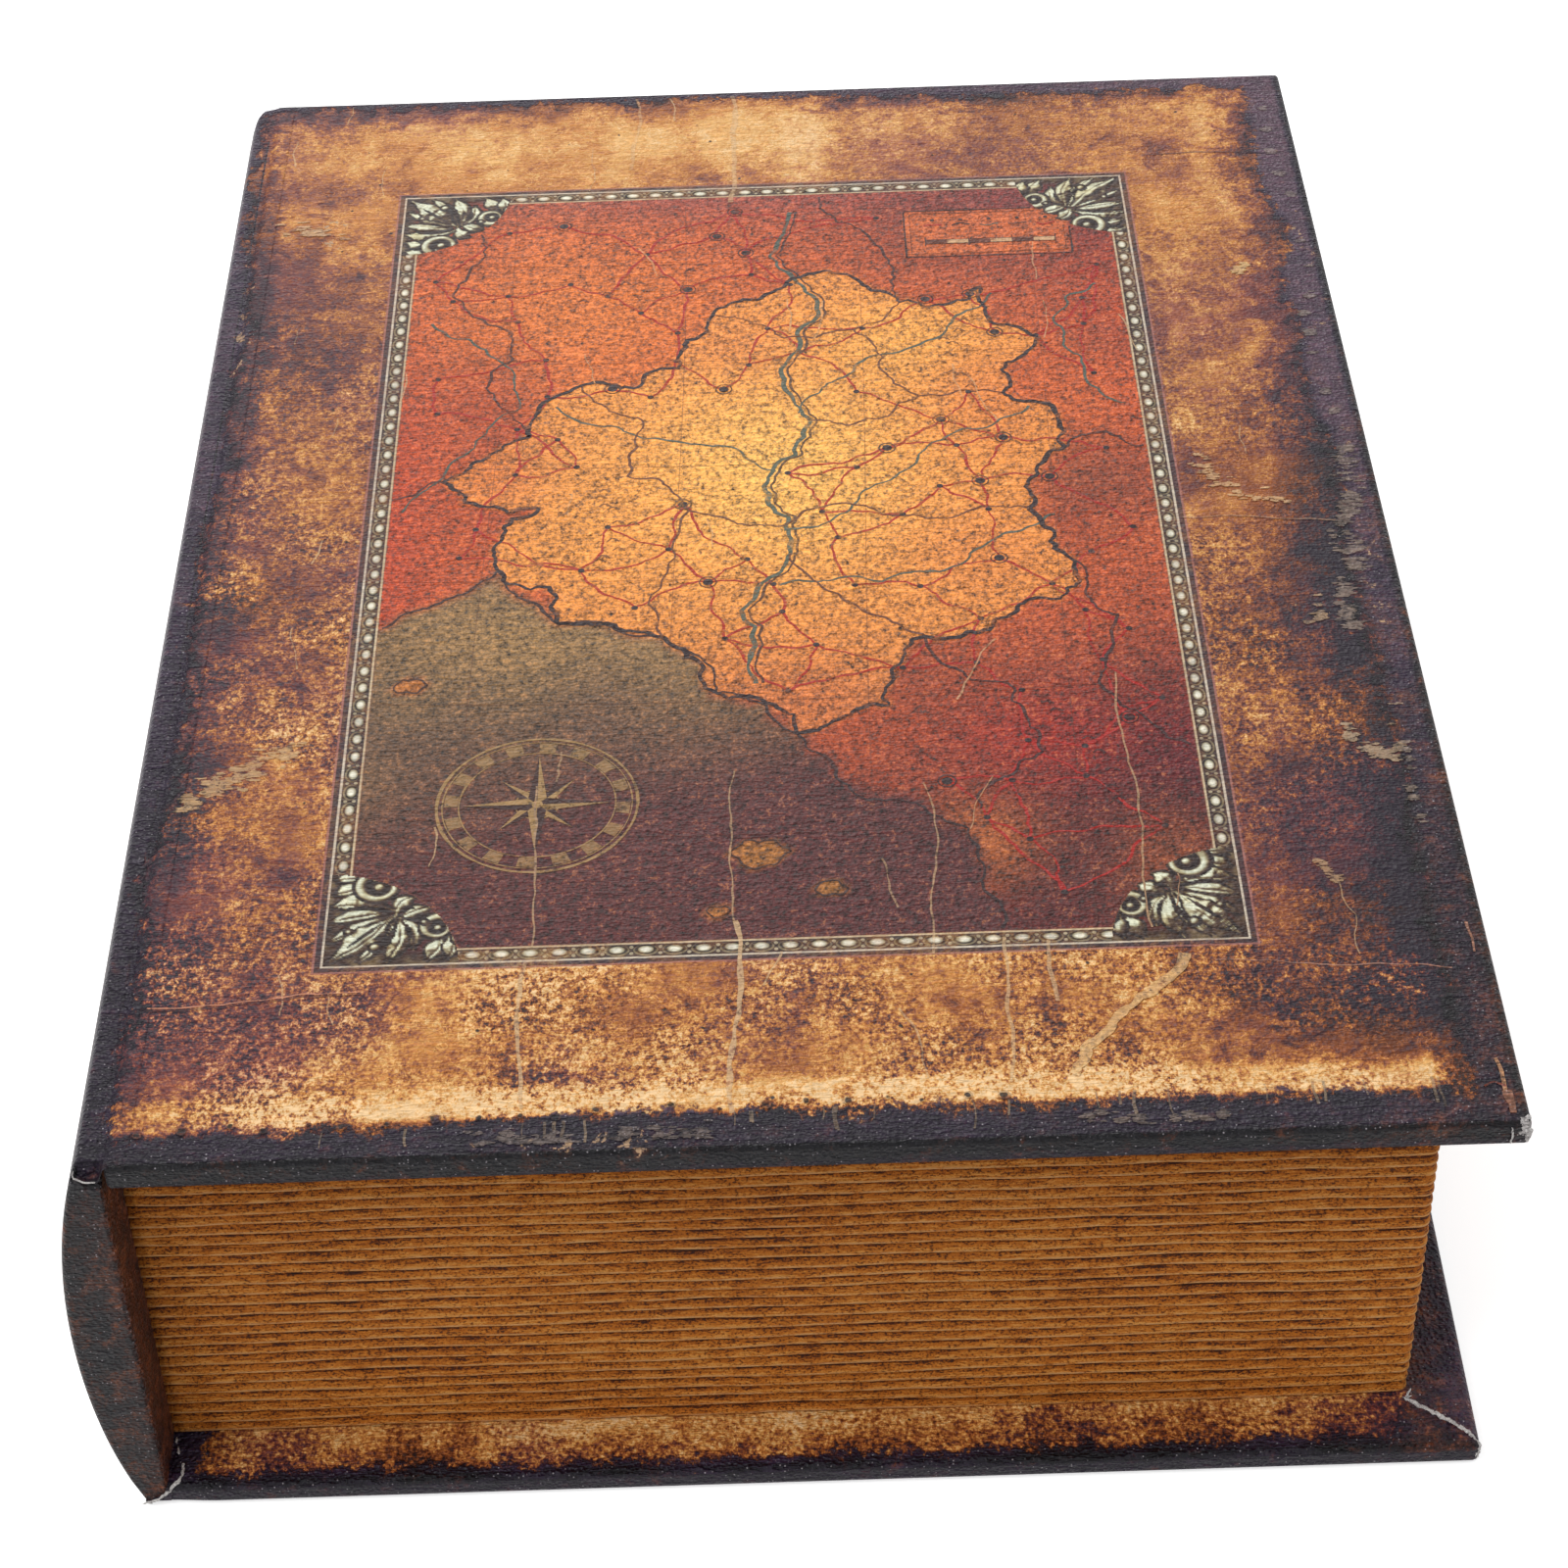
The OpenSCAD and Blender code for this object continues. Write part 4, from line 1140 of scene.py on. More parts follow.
wear = {
    # runs: x, from y, to y, width, strength
    "runs": [(-34.6, -99, -127, 0.55, 0.75), (-34.2, -62, -96, 0.3, 0.5), (-5.6, -92, -129, 0.7, 0.8),
             (-5.4, -60, -92, 0.3, 0.5), (31.5, -97, -125, 0.5, 0.6), (37.6, -98, -110, 0.5, 0.6),
             (-4, 134, 96, 0.8, 0.5), (-22, 134, 108, 0.6, 0.4), (52, -40, -96, 0.28, 0.5),
             (22, -64, -100, 0.3, 0.5)],
    "scratchCount": 34, "tearCount": 26, "tearColour": (150, 128, 104),
    # creases and scratches: path, seed, waviness, rounds, width, colour, strength
    "creases": [([(-86, -105.8), (-72, -105), (-57, -103.8)], 12, 0.04, 4, 0.24, (206, 140, 110), 0.8),
                # the dark line next to the first crease is its painted shadow
                ([(-86, -106.3), (-72, -105.5), (-57, -104.3)], 12, 0.04, 4, 0.3, (70, 36, 32), 0.6),
                ([(60, -103), (74, -104.5), (92, -106)], 13, 0.04, 4, 0.22, (190, 140, 120), 0.6),
                ([(70, 107.5), (80, 108), (95, 107)], 16, 0.05, 4, 0.3, (70, 50, 58), 0.6)],
    "diagonal": [(56, -101.5), (52.5, -107), (46, -113), (41, -119), (39, -124)],
    "diagonalColour": (224, 184, 128), "diagonalLayers": [(0.34, 0.9), (1.4, 0.55), (0.7, 0.6)],
    "edgeMarks": [([(66, -2), (90, -4)], 15, 0.05, 4, 0.25, (190, 150, 120), 0.5),
                  ([(94.9, -123.5), (95.3, -128), (95.6, -133)], 17, 0.06, 3, 0.42, (192, 140, 100), 0.9),
                  ([(95.4, -129.5), (95.5, -134.4)], 17, 0.06, 3, 1.0, (148, 100, 78), 0.9),
                  ([(92.6, -128.6), (94, -127.8), (96.2, -129)], 17, 0.06, 3, 0.3, (150, 74, 52), 0.9),
                  ([(95.3, -97), (95.5, -103)], 17, 0.06, 3, 0.42, (176, 124, 100), 0.9)],
    # rubbed places on the leather: path, breadth, colour
    "scuffs": [([(-86, -65), (-82, -60), (-76, -57), (-71, -52)], 3.4, (190, 152, 108)),
               ([(94, 18), (93, 0), (91.5, -16), (89, -30)], 3.0, (134, 116, 104)),
               ([(95, 130), (95.5, 70)], 1.2, (132, 116, 112)),
               ([(95.2, 66), (94.6, 20)], 1.4, (134, 118, 110)),
               ([(83, -30), (86, -24)], 3.0, (160, 132, 104)),
               ([(84, -55), (86, -60), (91, -61.5), (93, -50)], 2.2, (168, 142, 114)),
               ([(93, -58), (92.6, -75)], 0.9, (136, 118, 104)), ([(77, -84), (79, -88)], 1.2, (176, 140, 104)),
               ([(-40, -132.4), (-24, -133)], 2.2, (112, 98, 92)),
               ([(-22, -131.6), (-10, -132.6)], 2.6, (104, 90, 84)),
               ([(40, -131.5), (58, -132.5)], 1.4, (118, 102, 92)),
               ([(70, 14), (74, 6), (79, 3), (84, 0)], 2.2, (206, 164, 118)),
               ([(-84, 92), (-74, 88)], 3.0, (196, 160, 122)), ([(82, 66), (84, 70)], 1.8, (206, 170, 116))],
    "holeCount": 22, "holeRim": (96, 62, 44), "hole": (30, 22, 24),
}


def drawScuff(sheet, rng, k, path, wide, shade):
    path = wiggly(path, False, 1000 + k, 0.10, 3)
    reach = lengthsAlong(path)[-1]
    for i in range(int(reach * (2.6 + wide * 4.2)) + 8):
        x, y = path[rng.integers(len(path))] + rng.normal(0, 1, 2) * (wide * 0.26, wide * 0.34)
        torn = softNoise(np.array([x]), np.array([y]), 2.2, 77, 2)[0]
        if abs(y) < yEnd - 1.6 and -86 < x < xRight - 1.8 and torn > -0.10:
            sheet.dot(x, y, rng.uniform(0.25, 0.6) + 0.16 * wide * rng.random(), shade, rng.uniform(0.5, 1.0),
                      11, 0.5, 2000 + 97 * k + i, rng.uniform(0.22, 0.45))


def drawWear(sheet):
    # pale scratches and runs across the whole cover, crease lines, and the row of small holes at the front
    rng = np.random.default_rng(88)
    cream = inkPlan["cream"]
    for x, y0, y1, width, hold in wear["runs"]:
        path = wiggly([(x, y0), (x + rng.uniform(-1, 1), (y0 + y1) / 2), (x + rng.uniform(-1, 1), y1)], False,
                      int(abs(x * 10)), 0.05, 4)
        sheet.line(path, width, cream, hold, False)
    for k in range(wear["scratchCount"]):
        x, y = rng.uniform(-88, 92), rng.uniform(-130, 130)
        turn = rng.normal(math.pi / 2, 0.25)
        reach = rng.uniform(3, 16)
        path = wiggly([(x, y), (x + reach * math.cos(turn), y + reach * math.sin(turn))], False, 600 + k,
                      0.08, 3)
        sheet.line(path, rng.uniform(0.15, 0.34), cream, rng.uniform(0.35, 0.7), False)
    for k in range(wear["tearCount"]):
        x = rng.uniform(-70, 92)
        y = -131.5 + 4 * smooth(x, -90, 95)
        path = [(x, y + 1), (x + rng.uniform(-.3, .3), y - rng.uniform(1.0, 4.5))]
        sheet.line(wiggly(path, False, 700 + k, 0.08, 2), rng.uniform(0.15, 0.45), wear["tearColour"],
                   rng.uniform(0.35, 0.75), False)
    for path, seed, jog, rounds, width, shade, hold in wear["creases"]:
        sheet.line(wiggly(path, False, seed, jog, rounds), width, shade, hold, False)
    for k, (path, wide, shade) in enumerate(wear["scuffs"]):
        drawScuff(sheet, rng, k, path, wide, shade)
    for width, hold in wear["diagonalLayers"]:
        sheet.line(wiggly(wear["diagonal"], False, 14, 0.16, 4), width, wear["diagonalColour"], hold, False)
    for path, seed, jog, rounds, width, shade, hold in wear["edgeMarks"]:
        sheet.line(wiggly(path, False, seed, jog, rounds), width, shade, hold, False)
    for k in range(wear["holeCount"]):
        x = -84 + k * 5.4 + rng.uniform(-1.2, 1.2)
        y = -129.2 + 1.9 * smooth(x, -84, 40) + rng.uniform(-0.5, 0.9)
        reach = rng.uniform(0.2, 0.55)
        sheet.dot(x, y, reach * 1.5, wear["holeRim"], 0.4, 10, 0.25, 800 + k)
        sheet.dot(x, y + 0.001, reach, wear["hole"], 0.95, 10, 0.3, 900 + k)


def makeCoverInk():
    sheet = InkSheet()
    drawMap(sheet)
    drawWear(sheet)
    flat = np.array(sheet.points)
    # later strokes lie a little higher, so that none flickers
    order = np.array(sheet.layers) / sheet.layers[-1]
    points = np.column_stack([flat, lidTop + inkPlan["rise"] + inkPlan["layersHigh"] * order])
    fields, tint = topFields(points)
    fields["ink"] = np.array(sheet.holds)
    makePiece("coverInk", points, sheet.faces, mapLeather, "lid", fields=fields,
              colours={"mapTint": tint, "inkColour": np.array(sheet.colours)})
    print("ink laid,", len(points), "points")


makeCoverInk()


# Printed corner ornaments: leaves, scrolls and berries shaded as if carved

ornament = {"step": 0.2, "from": 1.5, "light": (-0.50, 0.62, 0.60), "outline": 0.34, "lobeSteps": 35,
            "lobeWide": 1.2, "lobeUneven": 0.22, "rise": 0.02, "ground": 0.15, "shadow": 0.12, "lit": 0.95,
            "moss": (0.86, 0.74, 0.52),
            # each lobe: foot, middle pull, tip, half width; later ones lie over earlier ones
            "lobes": [((7.2, 18.8), (5.2, 20.6), (2.2, 18.9), 1.5),
                      ((7.0, 17.2), (4.8, 17.6), (2.2, 16.0), 1.15),
                      ((17.6, 6.8), (17.4, 4.8), (15.8, 2.2), 1.35),
                      ((18.6, 7.4), (19.8, 5.2), (18.6, 2.3), 1.05),
                      ((19.2, 8.6), (20.3, 7.0), (20.1, 4.4), 0.75),
                      ((11.4, 10.8), (14.2, 11.9), (15.6, 12.8), 1.15),
                      ((11.0, 11.4), (11.4, 14.2), (13.4, 15.0), 1.35),
                      ((10.4, 12.6), (6.6, 15.2), (2.0, 13.5), 1.5),
                      ((10.0, 12.0), (6.2, 11.9), (1.9, 10.5), 1.15),
                      ((12.0, 10.6), (13.8, 8.8), (13.9, 4.6), 1.3),
                      ((11.6, 10.4), (12.1, 7.0), (10.4, 2.2), 1.45),
                      ((9.9, 11.2), (6.4, 9.4), (1.9, 6.2), 0.95),
                      ((11.0, 10.6), (9.8, 6.4), (6.4, 2.2), 1.25),
                      ((10.4, 10.9), (7.8, 7.4), (2.7, 2.6), 1.75)],
            "grooves": [((9.4, 12.7), (6.2, 13.5), (3.4, 12.8), 0.42),
                        ((9.7, 10.4), (7.0, 7.6), (4.4, 4.9), 0.32),
                        ((11.0, 9.6), (10.6, 7.2), (9.0, 4.4), 0.34),
                        ((12.6, 9.8), (13.3, 8.2), (13.3, 6.0), 0.32)],
            "scrolls": [(8.4, 17.3, 2.9, 2.2), (17.1, 8.6, 2.4, 0.4)],
            "berries": [(8.5, 5.0, 0.8), (15.1, 9.9, 0.5), (4.6, 8.3, 0.5)],
            "tones": [(0.0, (36, 24, 24)), (0.14, (72, 50, 40)), (0.30, (124, 104, 74)),
                      (0.52, (182, 174, 138)), (0.8, (228, 230, 204))]}


def lobePlace(a, b, foot, pull, tip, half):
    # offset across a curved lobe, half its width there, and whether the place lies between foot and tip
    t = np.linspace(0, 1, ornament["lobeSteps"] + 1)[:, None]
    line = (1 - t) ** 2 * np.array(foot) + 2 * t * (1 - t) * np.array(pull) + t ** 2 * np.array(tip)
    slope = unit(np.gradient(line, axis=0))
    away = np.stack([a, b], 1)[:, None, :] - line[None]
    nearest = np.argmin((away ** 2).sum(2), axis=1)
    offset = away[np.arange(len(a)), nearest]
    side = offset[:, 0] * slope[nearest, 1] - offset[:, 1] * slope[nearest, 0]
    along = nearest / ornament["lobeSteps"]
    wide = ornament["lobeWide"] * half * np.clip(np.sin(math.pi * np.clip(along, 0, 1) ** 1.25), 0.14, 1)
    wide *= 1 + ornament["lobeUneven"] * softNoise(a, b, 1.5, int(foot[0] * 10), 2)
    return side, wide, np.abs((offset * slope[nearest]).sum(1)) < 0.4


def carveCorner(a, b, count):
    # slopes of the carving and its body: -1 on the ground, 0 in an outline, up to 1 on a part
    slopes, body = [np.zeros(len(a)), np.zeros(len(a))], np.full(len(a), -1.0)

    def lay(height, inside, gap=ornament["outline"]):
        nonlocal body
        body = np.where((inside > -gap) & (inside <= 0), 0.0, body)
        on = inside > 0
        for k, slope in enumerate(np.gradient(height.reshape(count, count), ornament["step"])):
            slopes[k] = np.where(on, slope.ravel(), slopes[k])
        body = np.where(on, smooth(inside, 0, 0.4), body)

    for lobe in ornament["lobes"]:
        side, wide, within = lobePlace(a, b, *lobe)
        share = np.clip(1 - (side / wide) ** 2, 0, 1)
        crest = 1.35 * wide * np.sqrt(share) - 0.5 * np.exp(-((side + 0.25 * wide) / 0.2) ** 2)
        lay(np.where(within, crest, 0), np.where(within, wide - np.abs(side), -9))
    for groove in ornament["grooves"]:
        side, wide, within = lobePlace(a, b, *groove)
        body = np.where(within & (np.abs(side) < wide), 0.0, body)
    for px, py, reach, begin in ornament["scrolls"]:
        far = np.hypot(a - px, b - py)
        turned = ((np.arctan2(b - py, a - px) - begin) % (2 * math.pi)) / (2 * math.pi)
        body = np.where(far < reach * 0.8, 0.0, body)
        centre, thick = reach * (1 - 0.42 * turned), 0.34 + 0.62 * (1 - turned)
        inside = thick - np.abs(far - centre)
        lay(1.3 * np.sqrt(np.clip(thick ** 2 - (far - centre) ** 2, 0, None)), inside)
    for px, py, reach in ornament["berries"] + [(s[0], s[1], s[2] * 0.28) for s in ornament["scrolls"]]:
        far = np.hypot(a - px, b - py)
        lay(1.2 * np.sqrt(np.clip(reach ** 2 - far ** 2, 0, None)), reach - far)
    return slopes, body


def makeCornerOrnaments():
    line = np.arange(ornament["from"], mapPlan["cornerReach"] + 0.3, ornament["step"])
    count = len(line)
    a, b = [g.ravel() for g in np.meshgrid(line, line, indexing="ij")]
    slopes, body = carveCorner(a, b, count)
    reach = np.hypot(a, b)
    keep = (reach < mapPlan["cornerReach"] + 0.05).reshape(count, count)
    i, j = np.nonzero(keep[:-1, :-1] & keep[1:, :-1] & keep[:-1, 1:] & keep[1:, 1:])
    quads = np.stack([i * count + j, (i + 1) * count + j, (i + 1) * count + j + 1, i * count + j + 1], 1)
    used, quads = np.unique(quads, return_inverse=True)
    quads = quads.reshape(-1, 4)
    lamp = np.array(ornament["light"]) / np.linalg.norm(ornament["light"])
    stops = ornament["tones"]
    parts, colours = [], []
    for sideX in (-1, 1):
        for sideY in (-1, 1):
            x = mapPlan["centreX"] + sideX * (mapPlan["halfWide"] - a)
            y = mapPlan["centreY"] + sideY * (mapPlan["halfLong"] - b)
            normal = unit(np.stack([sideX * slopes[0], sideY * slopes[1], np.ones(len(a))], 1))
            lit = np.clip(normal @ lamp, 0, 1)
            shade = np.clip(body, 0, 1) * (ornament["shadow"] + ornament["lit"] * lit ** 1.3)
            shade = shade + 0.10 * softNoise(a, b, 1.2, 92, 2)
            shade = np.where(body < 0, ornament["ground"] + 0.12 * softNoise(a, b, 1.5, 91, 2), shade)
            colour = np.stack([np.interp(shade, [s for s, _ in stops], [paint(*c)[k] for _, c in stops])
                               for k in range(3)], 1)
            moss = np.clip(softNoise(x, y, 4, 93, 3), 0, 1)[:, None] * 0.8
            colour = mixed(colour, colour * np.array(ornament["moss"]), moss)
            ground = ((body < 0) * smooth(np.minimum(a, b), 2.6, 4.5))[:, None]
            colour = mixed(colour, mapTint(x, y) * (0.56 + 0.44 * smooth(reach, 13, 19))[:, None], ground)
            colours.append(colour[used])
            faces = quads if sideX * sideY < 0 else quads[:, ::-1]
            parts.append((np.stack([x, y, np.full(len(x), lidTop + ornament["rise"])], 1)[used],
                          faces.tolist()))
    points, faces = joinMeshes(parts)
    makePiece("cornerOrnaments", points, faces, ornamentInk, "lid",
              fields=coverFields(points), colours={"carving": np.vstack(colours)})


makeCornerOrnaments()
print("corner ornaments made")


# Lower cover, with the cloth's corner that laps each end of the spine

baseCut = {"edgeRound": 1.1, "pitch": 1.6, "underSpine": 1.2, "sideSwell": 0.27, "frontSwell": 0.35,
           # the lapping corner: its outline in X and Z, how far it stands out ring by ring, and its middle
           "lap": [(-92.6, 0.75), (-88.9, 0.75), (-88.4, 3.2), (-89.2, 2.7), (-90.2, 1.9), (-91.4, 1.2)],
           "lapOut": (-0.5, 0.04, 0.12), "lapMiddle": (-90.2, 1.4)}


def makeBaseCloth():
    slabPoints, slabFaces = softSlab((spineFaceX - baseCut["underSpine"], -yEnd, 0.0), (xRight, yEnd, baseTop),
                                     baseCut["edgeRound"], baseCut["pitch"])
    x, y, z = slabPoints.T
    front = baseCut["frontSwell"] * smooth(-y, 126, 134.6) * smooth(x, -89, -82)
    parts = [(np.stack([x + baseCut["sideSwell"] * smooth(x, 88, 97), y - front, z], 1), slabFaces)]
    middleX, middleZ = baseCut["lapMiddle"]
    for side in (-1, 1):
        rings = [[(x, side * (yEnd + out), z) for x, z in baseCut["lap"]] for out in baseCut["lapOut"]]
        rings[2] = [(mixed(x, middleX, 0.01), y, mixed(z, middleZ, 0.04)) for x, y, z in rings[2]]
        parts.append(sweep(rings if side > 0 else rings[::-1]))
    points, faces = joinMeshes(parts)
    fields = baseFields(points)
    fields["border"][len(slabPoints):] = coverMarks["bareBorder"]
    makePiece("baseCloth", points, faces, caseLeather, "tray", ("bottom_skin",),
              fields=fields)


# Spine: a rounded back, flat ends, and the hollow at each end of the joint above it

spineCut = {"shoulderX": -92.45, "backX": -97.55, "round": 1.0, "pitch": 2.0, "hollowLong": 1.9,
            "hollowDeep": 2.3, "cornerTurn": 2.6, "cornerLong": 5, "swell": 0.42, "footSwell": 0.16}
spineTop = spineTopBare + skinT


def spineBackX(z):
    # the arc of the back, leaner at the two shoulders
    rise = spineCut["shoulderX"] - spineCut["backX"]
    half = spineTop / 2
    radius = (half ** 2 + rise ** 2) / (2 * rise)
    return spineCut["backX"] + radius - np.sqrt(radius ** 2 - (z - half) ** 2)


def atEnds(y):
    # 0 along the spine, rising to 1 at its head; at the tail the cloth is folded shut and only rounds over
    return smooth(-y, yEnd - spineCut["hollowLong"], yEnd - 0.3) + 0.12 * smooth(y, yEnd - 1.3, yEnd)


def cornerTurn(y):
    # how far the case's corner is rounded off at the tail end of the joint
    past = np.clip((y - yEnd + spineCut["cornerLong"]) / spineCut["cornerLong"], 0, 0.995)
    return spineCut["cornerTurn"] * (1 - np.sqrt(1 - past ** 2))


def makeSpineCloth():
    low, high = (spineCut["backX"], -yEnd, 0.0), (spineFaceX, yEnd, spineTop)
    points, faces = softSlab(low, high, spineCut["round"], spineCut["pitch"])
    x, y, z = points.T
    share = (spineFaceX - spineBackX(np.clip(z, 0, spineTop))) / (high[0] - low[0])
    x = spineFaceX - (spineFaceX - x) * share
    full = spineCut["swell"] * (1 - smooth(z, 65.8, 68.4)) + spineCut["footSwell"] * (1 - smooth(z, 4, 40))
    x = x - full * smooth(z, 0.2, 5) * smooth(-x, 90, 96)
    x = x + cornerTurn(y) * (1 - smooth(x, -93.4, -89.2)) * smooth(z, 50, 68)
    z = z - (spineCut["hollowDeep"] + 0.5) * atEnds(y) * smooth(z, 58, spineTop) * smooth(x, -92.7, -91.6)
    points = np.stack([x, y, z], 1)
    makePiece("spineCloth", points, faces, caseLeather, "tray",
              ("spine_skin", "spine_core"), fields=spineFields(points))


makeBaseCloth()
makeSpineCloth()
print("lower cover and spine made")


# Outer joint: the case's cloth from the spine's shoulder over the groove to the upper cover

jointPath = {"x": -88.4, "z": 70, "thick": 0.30, "bend": 2.0, "lap": -85.4, "dip": 0.14, "tailRound": 0.75,
             # how far the spine's shoulder lies beneath its top, by X
             "shoulder": [(-93.4, 2.5), (-93.0, 1.5), (-92.83, 1.03), (-92.48, 0.31), (-92.25, 0.1),
                          (-92.0, 0.0)],
             # the inner cloth, in X and Z, up the spine's face and down the end of the upper board
             "inner": [(-89.04, 66.3), (-89.04, 67.6), (-89.02, 68.4), (-88.96, 68.8), (-88.86, 68.98),
                       (-88.76, 68.98), (-88.66, 68.8), (-88.62, 68.4), (-88.6, 67.6), (-88.6, 66.6)],
             "innerHalf": 0.08, "innerBend": (-88.96, -88.66), "innerShort": 11.2}


def jointHeight(x, y):
    ends = atEnds(y)
    shoulder = spineTop + 0.06 - np.interp(x, *zip(*jointPath["shoulder"]))
    middle = shoulder - jointPath["dip"] * np.exp(-((x + 88.9) / 0.9) ** 2)
    share = mixed(smooth(x, -89.2, -87.5), smooth(x, -93.2, -87.4), smooth(y, yEnd - 12, yEnd - 4))
    # it rounds over the tail edge with the cloths beneath it
    radius = jointPath["tailRound"]
    past = np.clip(y - (yEnd - radius), 0, radius - 0.005)
    level = mixed(middle, lidTop + 0.02, share) - radius + np.sqrt(radius ** 2 - past ** 2)
    into = np.clip((x + 92.75) / 1.8, 0, 1)
    sunk = shoulder + 0.05 - spineCut["hollowDeep"] * np.sin(into * math.pi / 2) ** 0.5
    sunk = mixed(sunk, lidTop - coverCut["jointSink"] * smooth(np.abs(y), yEnd - 1.2, yEnd),
                 smooth(x, -89.7, -88.3))
    return mixed(level, sunk, ends)


def blendOverJoint(piece, start, end):
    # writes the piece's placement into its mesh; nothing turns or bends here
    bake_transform(piece)


def makeJointSkin():
    across = np.concatenate([np.linspace(-93.35, -92.2, 5), np.linspace(-92.0, -86.4, 20),
                             [-85.9, jointPath["lap"]]])
    along = np.concatenate([-yEnd + np.linspace(0.02, 5, 16), np.linspace(-yEnd + 6, yEnd - 6, 170),
                            yEnd - np.linspace(5, 0.02, 16)])
    rings = []
    for y in along:
        turned = across + cornerTurn(y) * (1 - smooth(across, -93.4, -89.2))
        top = np.stack([turned, np.full(len(across), y), jointHeight(across, y)], 1)
        under = top[::-1] - np.array([0, 0, jointPath["thick"]])
        rings.append(np.vstack([top, under]))
    points, faces = sweep(rings)
    fields = coverFields(points, False)
    ends = atEnds(points[:, 1])
    fields["border"] = np.where(ends > 0.05, coverMarks["bareBorder"], fields["border"])
    fields["rust"] = 0.06 + 0.16 * ends
    # painted shade: in the hollow at each end of the joint the leather is set to one even, mildly dark tone
    fields["tone"] = mixed(fields["tone"], 0.42, ends)
    piece = makePiece("jointSkin", points, faces, caseLeather, None, ("hinge_skin",),
                      fields=fields)
    blendOverJoint(piece, jointPath["x"] - jointPath["bend"], jointPath["x"] + jointPath["bend"])


def makeJointLining():
    line = np.array(jointPath["inner"])
    slope = unit(np.gradient(line, axis=0))
    out = np.stack([slope[:, 1], -slope[:, 0]], 1) * jointPath["innerHalf"]
    loop = np.vstack([line + out, (line - out)[::-1]])
    span = yEnd - jointPath["innerShort"]
    rings = [np.stack([loop[:, 0], np.full(len(loop), y), loop[:, 1]], 1) for y in np.linspace(-span, span, 90)]
    points, faces = sweep(rings)
    piece = makePiece("jointLining", points, faces, jointCloth, None,
                      ("hinge_cloth", "lid_hinge_cloth"))
    blendOverJoint(piece, *jointPath["innerBend"])


makeJointSkin()
makeJointLining()
print("joint made")


# Torn and frayed edges, where the paper under the print shows white

frayCut = {"spacing": 0.3, "flat": 0.6, "stray": 0.22, "sides": 7, "uneven": (0.55, 1.35)}


def frayed(path, reach, seed):
    # a ragged cord of torn fibre along a path
    rng = np.random.default_rng(seed)
    path = np.asarray(path, float)
    far = lengthsAlong(path)
    line = evenly(path, far, max(4, int(far[-1] / frayCut["spacing"])))
    line[1:-1] += rng.normal(0, reach * frayCut["stray"], (len(line) - 2, 3))
    slope = unit(np.gradient(line, axis=0))
    up = np.cross(slope, np.cross(np.array([0.2, -0.5, 0.84]), slope))
    side = np.cross(slope, up)
    sides = frayCut["sides"]
    rings, turn = [], turns(sides)
    for k, centre in enumerate(line):
        taper = min(1.0, 0.25 + 3.0 * min(k, len(line) - 1 - k) / len(line) * 2)
        size = reach * taper * rng.uniform(*frayCut["uneven"], sides)[:, None]
        rings.append(centre + size * (np.cos(turn)[:, None] * side[k]
                                      + np.sin(turn)[:, None] * up[k] * frayCut["flat"]))
    return sweep(rings)


# each torn edge as lengths of fibre: path, thickness, seed
frays = {
    "seamTear": [([(-93.1, -135.1, 0.2), (-91.0, -135.15, 1.05), (-89.2, -135.15, 2.5), (-88.4, -134.9, 3.4),
                   (-87.6, -134.3, 3.9), (-87.2, -133.2, 3.95)], 0.30, 5),
                 ([(-87.2, -133.4, 3.92), (-87.15, -132.2, 3.9), (-87.3, -130.9, 3.9)], 0.26, 6),
                 ([(-88.0, -129.4, 3.9), (-88.3, -128.0, 3.88)], 0.30, 7),
                 ([(-88.5, -127.4, 3.9), (-88.7, -126.2, 3.9)], 0.24, 8)],
    "mitreFray": [([(87.9, -126.2, 3.95), (90.6, -128.0, 3.92), (93.7, -130.5, 3.92), (96.4, -132.8, 3.9),
                    (97.45, -134.4, 3.5)], 0.36, 11),
                  ([(97.45, -134.3, 3.6), (97.65, -134.9, 2.8), (97.6, -135.0, 1.6), (97.35, -135.0, 0.5)],
                   0.34, 12),
                  ([(97.15, -134.8, 3.4), (97.25, -135.2, 2.2), (97.05, -135.2, 0.8)], 0.26, 15),
                  ([(88.2, -126.3, 4.0), (88.8, -125.8, 4.6), (89.1, -125.6, 5.2)], 0.20, 13),
                  ([(88.2, -126.3, 3.95), (89.3, -126.0, 4.0)], 0.18, 14)],
    "cornerFray": [([(95.6, -135.0, 69.85), (96.7, -134.8, 69.85), (97.5, -134.2, 69.6), (97.75, -133.0, 69.1)],
                    0.52, 21),
                   ([(96.6, -135.35, 69.4), (97.5, -135.2, 68.4), (97.5, -135.15, 67.0),
                     (97.35, -135.15, 66.1)],
                    0.58, 22),
                   ([(97.75, -134.6, 68.9), (97.75, -134.1, 67.6), (97.7, -133.9, 66.3)], 0.42, 23),
                   ([(95.1, -135.48, 69.3), (95.4, -135.5, 68.0), (95.2, -135.48, 66.2)], 0.26, 24)],
}


def makeFrays():
    for name, lines in frays.items():
        points, faces = joinMeshes([frayed(path, reach, seed) for path, reach, seed in lines])
        body = "lid" if name == "cornerFray" else "tray"
        makePiece(name, points, faces, tornPaper, body)
    # the raw edge of the joint's cloth, a pale line round the hollow at the head
    across = np.linspace(-92.6, -89.9, 14)
    fold = [(-92.45, 69.15), (-92.62, 68.6), *zip(across, jointHeight(across, -yEnd) - 0.14)]
    turn = turns(8)
    section = 0.11 * np.stack([np.cos(turn) * 0.7, np.sin(turn) * 0.9, np.sin(turn + 0.6)], 1)
    points, faces = sweep([np.array((x, -yEnd - 0.02, z)) + section for x, z in fold])
    makePiece("jointFold", points, faces, tornPaper, "tray")


makeFrays()
print("frayed edges made")


